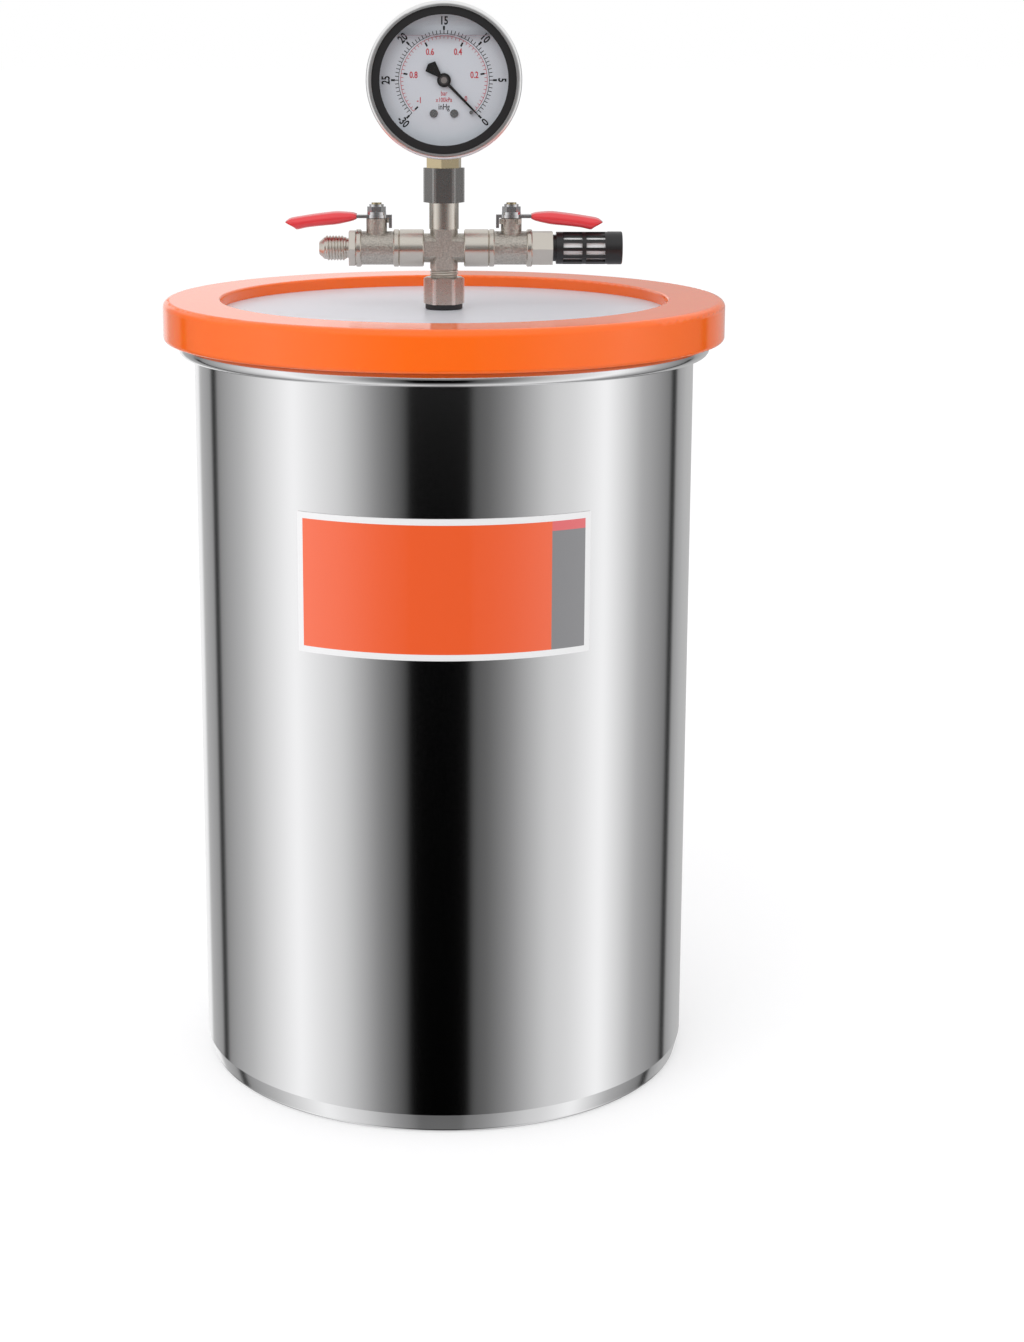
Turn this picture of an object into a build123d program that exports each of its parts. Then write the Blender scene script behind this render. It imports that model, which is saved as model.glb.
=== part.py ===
from build123d import *
import os
from math import cos, radians, sin, sqrt, tan

# Vacuum chamber: a drawn steel pot closed by a lift-off acrylic lid in a ring gasket. A cross
# fitting on the lid carries a dial vacuum gauge and two ball valves.
# Units are millimetres. The origin is the centre of the base on the floor, +Z is up and the
# gauge faces -Y. Valve pieces are modelled about their own stem, with local +X towards the
# valve's free end, and are then placed on both sides of the cross.

# ---------------------------------------------------------------- driving dimensions
# Pot
POT_RADIUS = 125.0
POT_HEIGHT = 373.6
SHEET = 1.2
BASE_THICK = 5.0
BASE_RECESS = 1.2
BASE_RING_WIDTH = 14.0
BAND_HEIGHT = 9.8
BAND_LEAN = 2.2
BAND_CORNER = 1.6
INNER_CORNER = 7.0
RIM_BEAD = 3.7
RIM_OFFSET = 4.2
RIM_RETURN = 2.8

# Label on the front of the pot
LABEL_LOW = 237.4
LABEL_HEIGHT = 67.3
LABEL_LEFT_ANGLE = 33.2
LABEL_RIGHT_ANGLE = 33.2
LABEL_THICK = 0.25
LABEL_GLUE = 0.2

# Lid and its ring gasket
RING_OVERHANG = 7.25
RING_LIP_REACH = 13.5
RING_WALL = 6.0
RING_LOWER_LIP = 3.0
RING_UPPER_LIP = 5.9
RING_ROUND = 3.4
RING_FOOT_ROUND = 2.0
RING_LIP_ROUND = 1.2
LID_THICK = 11.0
LID_EDGE_GAP = 0.25

# Pipe threads and the passages through the fittings
THREAD_RADIUS = 6.5
THREAD_LENGTH = 9.0
THREAD_GAP = 0.1
SOCKET_RELIEF = 0.6
PASSAGE_RADIUS = 3.2

# Lid fitting
FITTING_HEX = 17.7
FITTING_HEX_HEIGHT = 13.3
WASHER_RADIUS = 9.3
WASHER_THICK = 2.7
UNDER_WASHER_THICK = 2.0
UNDER_WASHER_RADIUS = 12.0
UNDER_NUT_HEIGHT = 7.0
UNDER_NUT_HEX = 19.0
SHANK_END = 2.0
SHANK_GAP = 0.4

# Cross fitting
CROSS_DOWN = 10.2
CROSS_THREAD_SHOW = 4.1
CROSS_UP = 22.6
CROSS_CAST = 9.6
CROSS_SIDE = 22.3
CROSS_COLLAR = 12.3
CROSS_COLLAR_RADIUS = 9.25
CROSS_ARM_RADIUS = 7.2
CROSS_NECK_RADIUS = 7.4
CROSS_PAD_WIDTH = 7.6
CROSS_PAD_DEPTH = 7.9

# Coupling between the cross and the gauge
COUPLING_HEX = 17.7
COUPLING_LENGTH = 17.0

# Gauge, with depths measured back from the front of its bezel
GAUGE_RISE = 82.3
GAUGE_FRONT = 19.0
BEZEL_RADIUS = 38.0
BEZEL_SHEET = 0.9
BEZEL_MOUTH = 35.3
BEZEL_DEPTH = 10.5
BEZEL_ROUND = 1.8
BEZEL_BACK_BEVEL = 1.2
CASE_RADIUS = 34.0
CASE_SHEET = 0.8
CASE_BACK = 30.0
CASE_FLANGE = 1.0
WINDOW_THICK = 2.0
WINDOW_SEAT = 2.4
GASKET_MOUTH = 31.3
GASKET_THICK = 1.5
DIAL_DEPTH = 8.0
DIAL_THICK = 0.8
DIAL_GAP = 0.4
SOCKET_HEX = 16.0
SOCKET_HEX_TURN = 22.0
SOCKET_HEX_HEIGHT = 8.6
SOCKET_BLOCK_WIDTH = 13.0
SOCKET_BLOCK_DEPTH = 10.0
SOCKET_BLOCK_TOP = 16.0
SOCKET_CASE_GAP = 0.2
DIAL_SCREW_ACROSS = 5.0
DIAL_SCREW_DROP = 16.0
DIAL_SCREW_RADIUS = 2.0
DIAL_SCREW_HEAD = 0.9
SCREW_SLOT = 0.6
SCREW_SLOT_DEPTH = 0.4
SCREW_SLOT_TURN = 30.0
STOP_PIN_PLACE = 20.4
STOP_PIN_ANGLE = -49.3
STOP_PIN_RADIUS = 0.9
STOP_PIN_LENGTH = 1.9
POINTER_LENGTH = 24.8
POINTER_TAIL = 11.0
POINTER_THICK = 0.7
POINTER_HUB_RADIUS = 3.4
POINTER_ZERO_ANGLE = -45.0
POINTER_STANDOFF = 1.2
POINTER_TIP = 6.0
POINTER_ROOT = 0.8
POINTER_WAIST = 0.5
POINTER_POINT = 0.12
TAIL_NECK = 1.1
TAIL_FAN = 6.8
TAIL_ROUND = 1.6
HUB_CAP_RADIUS = 1.9
HUB_CAP = 0.5
ARBOR_RADIUS = 0.8
ARBOR_GAP = 0.06
ARBOR_TAIL = 0.3
TUBE_RADIUS = 24.0
TUBE_WIDE = 7.0
TUBE_THIN = 2.6
TUBE_ARC = 262.0
TUBE_START = -80.0
TUBE_GAP = 0.05
PLATE_THICK = 1.2
PLATE_RISE = 6.0
PLATE_DROP = 24.0
PILLAR_ACROSS = 4.5
PILLAR_RISE = 3.5
PILLAR_RADIUS = 1.1
DIAL_PAD_RADIUS = 1.4
FILL_PLUG_RADIUS = 5.0

# Ball valve
VALVE_OFFSET = 33.5
VALVE_BARREL_RADIUS = 8.3
VALVE_FLANGE_RADIUS = 9.3
VALVE_FLANGE = 2.8
VALVE_FREE_END = 10.4
VALVE_NECK_RADIUS = 5.15
VALVE_NECK_TOP = 14.7
BALL_RADIUS = 4.6
BALL_PASSAGE = 2.4
BALL_GAP = 0.15
SEAT_FACE = 3.4
SEAT_THICK = 2.0
CAVITY_GAP = 0.5
RETAINER_THICK = 1.6
STEM_RADIUS = 2.5
STEM_COLLAR_RADIUS = 3.2
STEM_COLLAR = 1.5
STEM_GAP = 0.05
STEM_SQUARE = 3.4
TANG_WIDTH = 1.6
TANG_DEPTH = 1.2
TANG_GAP = 0.1
PACKING_HEIGHT = 2.0
LEVER_THICK = 1.5
LEVER_GAP = 0.3
LEVER_WIDTH = 8.0
LEVER_EYE_RADIUS = 5.3
LEVER_DROP = 3.4
GRIP_START = 10.2
GRIP_END = 45.3
GRIP_WIDTH = 12.0
GRIP_WALL = 1.9
GRIP_ROUND = 2.0
GRIP_MOUTH = 0.4
GRIP_TAPER = 1.3
GRIP_TAPER_RUN = 5.0
GRIP_CORNER = 3.0
TAB_REACH = 7.6
TAB_DROP = 5.0
TAB_WIDTH = 4.4
STOP_REACH = 1.9
STOP_WIDTH = 2.0
STOP_ROOT = 1.0
STOP_ANGLE = 220.0
STOP_SPREAD = 170.0
NUT_HEX = 8.0
NUT_FLANGE_RADIUS = 4.75
NUT_FLANGE = 1.4
NUT_HEIGHT = 5.2

# Flare nipple on the left valve
NIPPLE_HEX = 17.0
NIPPLE_HEX_LENGTH = 3.4
FLARE_THREAD_RADIUS = 6.35
FLARE_THREAD_LENGTH = 8.6
FLARE_NOSE_RADIUS = 4.6
FLARE_NOSE_LENGTH = 6.2
FLARE_TIP_RADIUS = 3.1

# Silencer on the right valve
ADAPTER_HEX = 16.0
ADAPTER_LENGTH = 10.2
SILENCER_NECK_RADIUS = 6.6
SILENCER_NECK = 1.8
SILENCER_RADIUS = 8.0
SILENCER_BARREL = 25.6
SILENCER_WALL = 1.6
SILENCER_THREAD_RADIUS = 4.9
SILENCER_THREAD = 7.0
SILENCER_CAP = 7.2
SLOT_ROWS = 12
SLOT_COLUMNS = 2
SLOT_LENGTH = 9.4
SLOT_RIB = 2.0
SLOT_START = 3.4
SLOT_WIDTH = 2.5
FELT_WALL = 2.0
FELT_GAP = 0.15

# ---------------------------------------------------------------- derived places
RING_RADIUS = POT_RADIUS + RIM_OFFSET + RIM_BEAD + RING_OVERHANG
RING_LIP_RADIUS = POT_RADIUS - RING_LIP_REACH
RING_HEIGHT = RING_LOWER_LIP + LID_THICK + RING_UPPER_LIP
LID_BOTTOM = POT_HEIGHT + RING_LOWER_LIP
LID_TOP = LID_BOTTOM + LID_THICK
RING_TOP = POT_HEIGHT + RING_HEIGHT
CHANNEL_RADIUS = RING_RADIUS - RING_WALL
LID_RADIUS = CHANNEL_RADIUS - LID_EDGE_GAP
SOCKET_RADIUS = THREAD_RADIUS + THREAD_GAP
SOCKET_DEPTH = THREAD_LENGTH + SOCKET_RELIEF

HEX_BOTTOM = LID_TOP + WASHER_THICK
HEX_TOP = HEX_BOTTOM + FITTING_HEX_HEIGHT
PIPE_Z = HEX_TOP + CROSS_THREAD_SHOW + CROSS_DOWN
UNDER_WASHER_Z = LID_BOTTOM - UNDER_WASHER_THICK
UNDER_NUT_Z = UNDER_WASHER_Z - UNDER_NUT_HEIGHT
SHANK_Z = UNDER_NUT_Z - SHANK_END
COUPLING_Z = PIPE_Z + CROSS_UP
SOCKET_Z = COUPLING_Z + COUPLING_LENGTH
COUPLING_THREAD = (COUPLING_LENGTH - SOCKET_RELIEF) / 2
GAUGE_Z = PIPE_Z + GAUGE_RISE
GAUGE_FRONT_Y = -GAUGE_FRONT


def gauge_plane(depth):
    """Plane across the gauge, a given depth behind the bezel's front, looking out of the dial."""
    return Plane(origin=(0, GAUGE_FRONT_Y + depth, GAUGE_Z), x_dir=(1, 0, 0), z_dir=(0, -1, 0))


def side_plane(x, z):
    """Plane across a pipe that runs along X, with its normal towards +X."""
    return Plane(origin=(x, 0, z), x_dir=(0, 1, 0), z_dir=(1, 0, 0))


def across_flats(flats):
    """Radius of the corners of a hexagon with this width across its flats."""
    return flats / sqrt(3)


def keep(piece, label):
    """Label a finished piece and write its STEP file."""
    piece.label = label
    export_step(piece, "parts/" + label + ".step")


os.makedirs("parts", exist_ok=True)

# ---------------------------------------------------------------- pot
RIM_CENTRE_R = POT_RADIUS + RIM_OFFSET
RIM_CENTRE_Z = POT_HEIGHT - RIM_BEAD
BASE_INNER_R = POT_RADIUS - BAND_LEAN - BAND_CORNER - BASE_RING_WIDTH
BAND_FOOT_R = POT_RADIUS - BAND_LEAN

with BuildPart() as pot:
    with BuildSketch(Plane.XZ):
        with BuildLine():
            foot = Polyline(
                (0, BASE_RECESS),
                (BASE_INNER_R, BASE_RECESS),
                (BASE_INNER_R + BASE_RECESS, 0),
                (BAND_FOOT_R - BAND_CORNER, 0),
            )
            corner = TangentArc(foot @ 1, (BAND_FOOT_R, BAND_CORNER), tangent=(1, 0))
            outside = Polyline(
                corner @ 1,
                (POT_RADIUS, BAND_HEIGHT),
                (POT_RADIUS, RIM_CENTRE_Z + RIM_BEAD - SHEET - RIM_OFFSET),
            )
            throat = TangentArc(outside @ 1, (RIM_CENTRE_R, POT_HEIGHT - SHEET), tangent=(0, 1))
            under_bead = CenterArc(
                (RIM_CENTRE_R, RIM_CENTRE_Z), RIM_BEAD - SHEET, 90, -180
            )
            curl = Polyline(
                under_bead @ 1,
                (RIM_CENTRE_R - RIM_RETURN, RIM_CENTRE_Z - RIM_BEAD + SHEET),
                (RIM_CENTRE_R - RIM_RETURN, RIM_CENTRE_Z - RIM_BEAD),
                (RIM_CENTRE_R, RIM_CENTRE_Z - RIM_BEAD),
            )
            bead = CenterArc((RIM_CENTRE_R, RIM_CENTRE_Z), RIM_BEAD, -90, 180)
            inner_turn = Line(bead @ 1, (RIM_CENTRE_R - SHEET / 2, POT_HEIGHT))
            shoulder = TangentArc(
                inner_turn @ 1,
                (POT_RADIUS - SHEET, POT_HEIGHT - SHEET - RIM_OFFSET + SHEET / 2),
                tangent=(-1, 0),
            )
            inside = Line(shoulder @ 1, (POT_RADIUS - SHEET, BASE_THICK + INNER_CORNER))
            inner_corner = TangentArc(
                inside @ 1,
                (POT_RADIUS - SHEET - INNER_CORNER, BASE_THICK),
                tangent=(0, -1),
            )
            Polyline(inner_corner @ 1, (0, BASE_THICK), (0, BASE_RECESS))
        make_face()
    revolve(axis=Axis.Z)
keep(pot.part, "pot")

with BuildPart() as pot_label:
    with BuildSketch(Plane.XY.offset(LABEL_LOW)):
        Circle(POT_RADIUS + LABEL_GLUE + LABEL_THICK)
        Circle(POT_RADIUS + LABEL_GLUE, mode=Mode.SUBTRACT)
        with BuildLine():
            reach = 2 * POT_RADIUS
            left = (-reach * sin(radians(LABEL_LEFT_ANGLE)), -reach * cos(radians(LABEL_LEFT_ANGLE)))
            right = (reach * sin(radians(LABEL_RIGHT_ANGLE)), -reach * cos(radians(LABEL_RIGHT_ANGLE)))
            Polyline((0, 0), left, right, (0, 0))
        make_face(mode=Mode.INTERSECT)
    extrude(amount=LABEL_HEIGHT)
keep(pot_label.part, "pot_label")

# ---------------------------------------------------------------- lid and gasket
with BuildPart() as lid_gasket:
    with BuildSketch(Plane.XZ) as ring_section:
        with Locations(((RING_LIP_RADIUS + RING_RADIUS) / 2, (POT_HEIGHT + RING_TOP) / 2)):
            Rectangle(RING_RADIUS - RING_LIP_RADIUS, RING_HEIGHT)
        top_corner = ring_section.vertices().group_by(Axis.X)[-1].sort_by(Axis.Y)[-1]
        fillet(top_corner, RING_ROUND)
        foot_corner = ring_section.vertices().sort_by(Axis.X)[-2:].sort_by(Axis.Y)[0]
        fillet(foot_corner, RING_FOOT_ROUND)
        with Locations(((RING_LIP_RADIUS + CHANNEL_RADIUS) / 2, (LID_BOTTOM + LID_TOP) / 2)):
            Rectangle(CHANNEL_RADIUS - RING_LIP_RADIUS, LID_THICK, mode=Mode.SUBTRACT)
        top_lip_edge = ring_section.vertices().group_by(Axis.X)[0].sort_by(Axis.Y)[-1]
        fillet(top_lip_edge, RING_LIP_ROUND)
    revolve(axis=Axis.Z)
keep(lid_gasket.part, "lid_gasket")

with BuildPart() as lid_disc:
    with BuildSketch(Plane.XY.offset(LID_BOTTOM)):
        Circle(LID_RADIUS)
        Circle(THREAD_RADIUS + SHANK_GAP, mode=Mode.SUBTRACT)
    extrude(amount=LID_THICK)
keep(lid_disc.part, "lid_disc")

# ---------------------------------------------------------------- fitting through the lid
with BuildPart() as lid_fitting:
    with BuildSketch(Plane.XY.offset(SHANK_Z)):
        Circle(THREAD_RADIUS)
    extrude(amount=HEX_BOTTOM - SHANK_Z)
    with BuildSketch(Plane.XY.offset(HEX_BOTTOM)):
        RegularPolygon(across_flats(FITTING_HEX), 6, rotation=0)
    extrude(amount=FITTING_HEX_HEIGHT)
    with BuildSketch(Plane.XZ) as crown:
        with BuildLine():
            bevel = across_flats(FITTING_HEX) - FITTING_HEX / 2
            Polyline(
                (FITTING_HEX / 2, HEX_TOP),
                (across_flats(FITTING_HEX) + bevel, HEX_TOP),
                (across_flats(FITTING_HEX) + bevel, HEX_TOP - 2 * bevel * tan(radians(30))),
                (FITTING_HEX / 2, HEX_TOP),
            )
        make_face()
    revolve(axis=Axis.Z, mode=Mode.SUBTRACT)
    with BuildSketch(Plane.XY.offset(HEX_TOP)):
        Circle(SOCKET_RADIUS)
    extrude(amount=-SOCKET_DEPTH, mode=Mode.SUBTRACT)
    with BuildSketch(Plane.XY.offset(SHANK_Z)):
        Circle(PASSAGE_RADIUS)
    extrude(amount=HEX_TOP - SHANK_Z, mode=Mode.SUBTRACT)
keep(lid_fitting.part, "lid_fitting")

with BuildPart() as top_washer:
    with BuildSketch(Plane.XY.offset(LID_TOP)):
        Circle(WASHER_RADIUS)
        Circle(THREAD_RADIUS + THREAD_GAP, mode=Mode.SUBTRACT)
    extrude(amount=WASHER_THICK)
    fillet(top_washer.edges().filter_by(GeomType.CIRCLE).sort_by(SortBy.LENGTH)[-2:], WASHER_THICK / 4)
keep(top_washer.part, "top_washer")

with BuildPart() as under_washer:
    with BuildSketch(Plane.XY.offset(UNDER_WASHER_Z)):
        Circle(UNDER_WASHER_RADIUS)
        Circle(THREAD_RADIUS + THREAD_GAP, mode=Mode.SUBTRACT)
    extrude(amount=UNDER_WASHER_THICK)
keep(under_washer.part, "under_washer")

with BuildPart() as under_nut:
    with BuildSketch(Plane.XY.offset(UNDER_NUT_Z)):
        RegularPolygon(across_flats(UNDER_NUT_HEX), 6)
        Circle(THREAD_RADIUS + THREAD_GAP, mode=Mode.SUBTRACT)
    extrude(amount=UNDER_NUT_HEIGHT)
keep(under_nut.part, "under_nut")

# ---------------------------------------------------------------- cross fitting
with BuildPart() as cross_fitting:
    with BuildSketch(side_plane(-CROSS_SIDE, PIPE_Z)):
        Circle(CROSS_ARM_RADIUS)
    extrude(amount=2 * CROSS_SIDE)
    for outer in (-CROSS_SIDE, CROSS_SIDE - CROSS_COLLAR):
        with BuildSketch(side_plane(outer, PIPE_Z)):
            Circle(CROSS_COLLAR_RADIUS)
        extrude(amount=CROSS_COLLAR)
    collar_rims = cross_fitting.edges().filter_by(GeomType.CIRCLE).filter_by(
        lambda e: abs(e.radius - CROSS_COLLAR_RADIUS) < 0.01
    )
    chamfer(collar_rims, 0.5)
    with BuildSketch(Plane.XY.offset(PIPE_Z - CROSS_DOWN)):
        Circle(CROSS_ARM_RADIUS - 0.3)
    extrude(amount=CROSS_DOWN + CROSS_CAST)
    with BuildSketch(Plane.XZ.offset(-CROSS_PAD_DEPTH)):
        with Locations((0, PIPE_Z)):
            Rectangle(2 * (CROSS_SIDE - CROSS_COLLAR), CROSS_PAD_WIDTH)
        with Locations((0, PIPE_Z + (CROSS_CAST - CROSS_DOWN) / 2)):
            Rectangle(CROSS_PAD_WIDTH, CROSS_DOWN + CROSS_CAST)
    extrude(amount=2 * CROSS_PAD_DEPTH)
    with BuildSketch(Plane.XY.offset(PIPE_Z + CROSS_CAST)):
        Circle(CROSS_NECK_RADIUS)
    extrude(amount=CROSS_UP - CROSS_CAST)
    with BuildSketch(Plane.XY.offset(PIPE_Z + CROSS_UP)):
        Circle(THREAD_RADIUS)
    extrude(amount=COUPLING_THREAD)
    with BuildSketch(Plane.XY.offset(PIPE_Z - CROSS_DOWN)):
        Circle(THREAD_RADIUS)
    extrude(amount=-CROSS_THREAD_SHOW - THREAD_LENGTH)
    with BuildSketch(Plane.XY.offset(PIPE_Z - CROSS_DOWN - CROSS_THREAD_SHOW - THREAD_LENGTH)):
        Circle(PASSAGE_RADIUS)
    extrude(
        amount=CROSS_DOWN + CROSS_THREAD_SHOW + 2 * THREAD_LENGTH + CROSS_UP, mode=Mode.SUBTRACT
    )
    with BuildSketch(side_plane(-CROSS_SIDE, PIPE_Z)):
        Circle(PASSAGE_RADIUS)
    extrude(amount=2 * CROSS_SIDE, mode=Mode.SUBTRACT)
    for side in (-1, 1):
        with BuildSketch(side_plane(side * CROSS_SIDE, PIPE_Z)):
            Circle(SOCKET_RADIUS)
        extrude(amount=-side * SOCKET_DEPTH, mode=Mode.SUBTRACT)
keep(cross_fitting.part, "cross_fitting")

with BuildPart() as gauge_coupling:
    with BuildSketch(Plane.XY.offset(COUPLING_Z)):
        RegularPolygon(across_flats(COUPLING_HEX), 6)
    extrude(amount=COUPLING_LENGTH)
    with BuildSketch(Plane.XY.offset(COUPLING_Z)):
        Circle(PASSAGE_RADIUS)
    extrude(amount=COUPLING_LENGTH, mode=Mode.SUBTRACT)
    with BuildSketch(Plane.XY.offset(COUPLING_Z)):
        Circle(SOCKET_RADIUS)
    extrude(amount=COUPLING_LENGTH, mode=Mode.SUBTRACT)
keep(gauge_coupling.part, "gauge_coupling")

# ---------------------------------------------------------------- gauge
BEZEL_INNER = BEZEL_RADIUS - BEZEL_SHEET
GASKET_RADIUS = BEZEL_INNER - CASE_SHEET
WINDOW_BACK = WINDOW_SEAT + WINDOW_THICK
FLANGE_BACK = WINDOW_BACK + CASE_FLANGE
CASE_INNER = CASE_RADIUS - CASE_SHEET
BLOCK_BOTTOM = SOCKET_Z + SOCKET_HEX_HEIGHT
CASE_HOLE_Z = GAUGE_Z - CASE_RADIUS


def ring_profile(points, front_round=0.0):
    """Closed outline for a piece turned about the gauge's axis, from (radius, depth) points."""
    with BuildSketch(Plane.YZ, mode=Mode.PRIVATE) as outline:
        with BuildLine():
            corners = [(GAUGE_FRONT_Y + depth, GAUGE_Z + radius) for radius, depth in points]
            Polyline(*corners, corners[0])
        make_face()
        if front_round:
            fillet(outline.vertices().group_by(Axis.X)[0].sort_by(Axis.Y)[-1], front_round)
    return outline.sketch


def tube_plane(angle):
    """Plane through the gauge's axis, turned to this angle about it, with x outwards."""
    outwards = (cos(radians(angle)), 0, sin(radians(angle)))
    return Plane(origin=(0, 0, GAUGE_Z), x_dir=outwards, z_dir=(-outwards[2], 0, outwards[0]))


GAUGE_AXIS = Axis((0, 0, GAUGE_Z), (0, 1, 0))

with BuildPart() as gauge_bezel:
    bezel_corners = [
        (BEZEL_MOUTH, 0),
        (BEZEL_RADIUS, 0),
        (BEZEL_RADIUS, BEZEL_DEPTH - BEZEL_BACK_BEVEL),
        (CASE_RADIUS + CASE_FLANGE, BEZEL_DEPTH),
        (CASE_RADIUS + CASE_FLANGE, BEZEL_DEPTH - BEZEL_SHEET),
        (BEZEL_INNER, FLANGE_BACK + BEZEL_SHEET),
        (BEZEL_INNER, BEZEL_SHEET),
        (BEZEL_MOUTH, BEZEL_SHEET),
    ]
    add(ring_profile(bezel_corners, front_round=BEZEL_ROUND))
    revolve(axis=GAUGE_AXIS)
keep(gauge_bezel.part, "gauge_bezel")

with BuildPart() as window_gasket:
    add(ring_profile([
        (GASKET_MOUTH, WINDOW_SEAT - GASKET_THICK),
        (BEZEL_INNER, WINDOW_SEAT - GASKET_THICK),
        (BEZEL_INNER, WINDOW_BACK),
        (GASKET_RADIUS, WINDOW_BACK),
        (GASKET_RADIUS, WINDOW_SEAT),
        (GASKET_MOUTH, WINDOW_SEAT),
    ]))
    revolve(axis=GAUGE_AXIS)
keep(window_gasket.part, "window_gasket")

with BuildPart() as gauge_window:
    with BuildSketch(gauge_plane(WINDOW_BACK)):
        Circle(GASKET_RADIUS - 0.1)
    extrude(amount=WINDOW_THICK)
keep(gauge_window.part, "gauge_window")

with BuildPart() as gauge_case:
    add(ring_profile([
        (0, CASE_BACK),
        (CASE_RADIUS - 3, CASE_BACK),
        (CASE_RADIUS, CASE_BACK - 3),
        (CASE_RADIUS, FLANGE_BACK),
        (BEZEL_INNER, FLANGE_BACK),
        (BEZEL_INNER, WINDOW_BACK),
        (CASE_INNER, WINDOW_BACK),
        (CASE_INNER, CASE_BACK - 3 - CASE_SHEET / 2),
        (CASE_INNER - 3 + CASE_SHEET / 2, CASE_BACK - CASE_SHEET),
        (0, CASE_BACK - CASE_SHEET),
    ]))
    revolve(axis=GAUGE_AXIS)
    with BuildSketch(Plane.XY.offset(CASE_HOLE_Z - 2 * CASE_SHEET)):
        Circle(THREAD_RADIUS + SOCKET_CASE_GAP)
    extrude(amount=6 * CASE_SHEET, mode=Mode.SUBTRACT)
    with BuildSketch(Plane.XY.offset(GAUGE_Z)):
        Circle(FILL_PLUG_RADIUS - 1)
    extrude(amount=CASE_RADIUS + 1, mode=Mode.SUBTRACT)
keep(gauge_case.part, "gauge_case")

with BuildPart() as fill_plug:
    plug_z = GAUGE_Z + CASE_RADIUS
    with BuildSketch(Plane.XZ):
        with BuildLine():
            Polyline(
                (0, plug_z - 2.2),
                (FILL_PLUG_RADIUS - 1.6, plug_z - 2.2),
                (FILL_PLUG_RADIUS - 1.1, plug_z - 0.8),
                (FILL_PLUG_RADIUS - 1.1, plug_z + 0.05),
                (FILL_PLUG_RADIUS, plug_z + 0.05),
                (FILL_PLUG_RADIUS - 0.4, plug_z + 1.4),
                (0, plug_z + 1.7),
                (0, plug_z - 2.2),
            )
        make_face()
    revolve(axis=Axis.Z)
keep(fill_plug.part, "fill_plug")

with BuildPart() as gauge_socket:
    with BuildSketch(Plane.XY.offset(SOCKET_Z - COUPLING_THREAD)):
        Circle(THREAD_RADIUS)
    extrude(amount=COUPLING_THREAD)
    with BuildSketch(Plane.XY.offset(SOCKET_Z)):
        RegularPolygon(across_flats(SOCKET_HEX), 6, rotation=SOCKET_HEX_TURN)
    extrude(amount=SOCKET_HEX_HEIGHT - 0.3)
    with BuildSketch(Plane.XY.offset(SOCKET_Z)):
        Circle(THREAD_RADIUS)
    extrude(amount=CASE_HOLE_Z + 3 - SOCKET_Z)
    with BuildSketch(Plane.XY.offset(CASE_HOLE_Z + 3)):
        Rectangle(SOCKET_BLOCK_WIDTH, SOCKET_BLOCK_DEPTH)
    extrude(amount=SOCKET_BLOCK_TOP)
    with BuildSketch(Plane.XY.offset(SOCKET_Z - THREAD_LENGTH)):
        Circle(PASSAGE_RADIUS)
    extrude(amount=THREAD_LENGTH + SOCKET_HEX_HEIGHT + SOCKET_BLOCK_TOP / 2, mode=Mode.SUBTRACT)
    with BuildSketch(tube_plane(TUBE_START)):
        with Locations((TUBE_RADIUS, 0)):
            Rectangle(TUBE_THIN + 2 * TUBE_GAP, TUBE_WIDE + 2 * TUBE_GAP)
    revolve(axis=GAUGE_AXIS, revolution_arc=-TUBE_ARC / 6, mode=Mode.SUBTRACT)
keep(gauge_socket.part, "gauge_socket")

with BuildPart() as dial:
    with BuildSketch(gauge_plane(DIAL_DEPTH + DIAL_THICK)):
        Circle(CASE_INNER - DIAL_GAP)
        Circle(ARBOR_RADIUS + 0.7, mode=Mode.SUBTRACT)
    extrude(amount=DIAL_THICK)
keep(dial.part, "dial")

POINTER_DEPTH = DIAL_DEPTH - POINTER_STANDOFF
ARBOR_END = GAUGE_FRONT + SOCKET_BLOCK_DEPTH / 2 + PLATE_THICK + ARBOR_TAIL
DIAL_BACK_Y = GAUGE_FRONT_Y + DIAL_DEPTH + DIAL_THICK
PLATE_FRONT_Y = -SOCKET_BLOCK_DEPTH / 2 - PLATE_THICK
screw_places = ((-DIAL_SCREW_ACROSS, -DIAL_SCREW_DROP), (DIAL_SCREW_ACROSS, -DIAL_SCREW_DROP))
with BuildPart() as dial_screws:
    with BuildSketch(gauge_plane(DIAL_DEPTH)):
        with Locations(*screw_places):
            Circle(DIAL_SCREW_RADIUS)
    extrude(amount=DIAL_SCREW_HEAD)
    with BuildSketch(gauge_plane(DIAL_DEPTH - DIAL_SCREW_HEAD)):
        with Locations(*screw_places):
            Rectangle(SCREW_SLOT, 3 * DIAL_SCREW_RADIUS, rotation=SCREW_SLOT_TURN)
    extrude(amount=-SCREW_SLOT_DEPTH, mode=Mode.SUBTRACT)
keep(dial_screws.part, "dial_screws")

with BuildPart() as stop_pin:
    pin_x = STOP_PIN_PLACE * cos(radians(STOP_PIN_ANGLE))
    pin_up = STOP_PIN_PLACE * sin(radians(STOP_PIN_ANGLE))
    with BuildSketch(gauge_plane(DIAL_DEPTH)):
        with Locations((pin_x, pin_up)):
            Circle(STOP_PIN_RADIUS)
    extrude(amount=STOP_PIN_LENGTH)
keep(stop_pin.part, "stop_pin")

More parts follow.
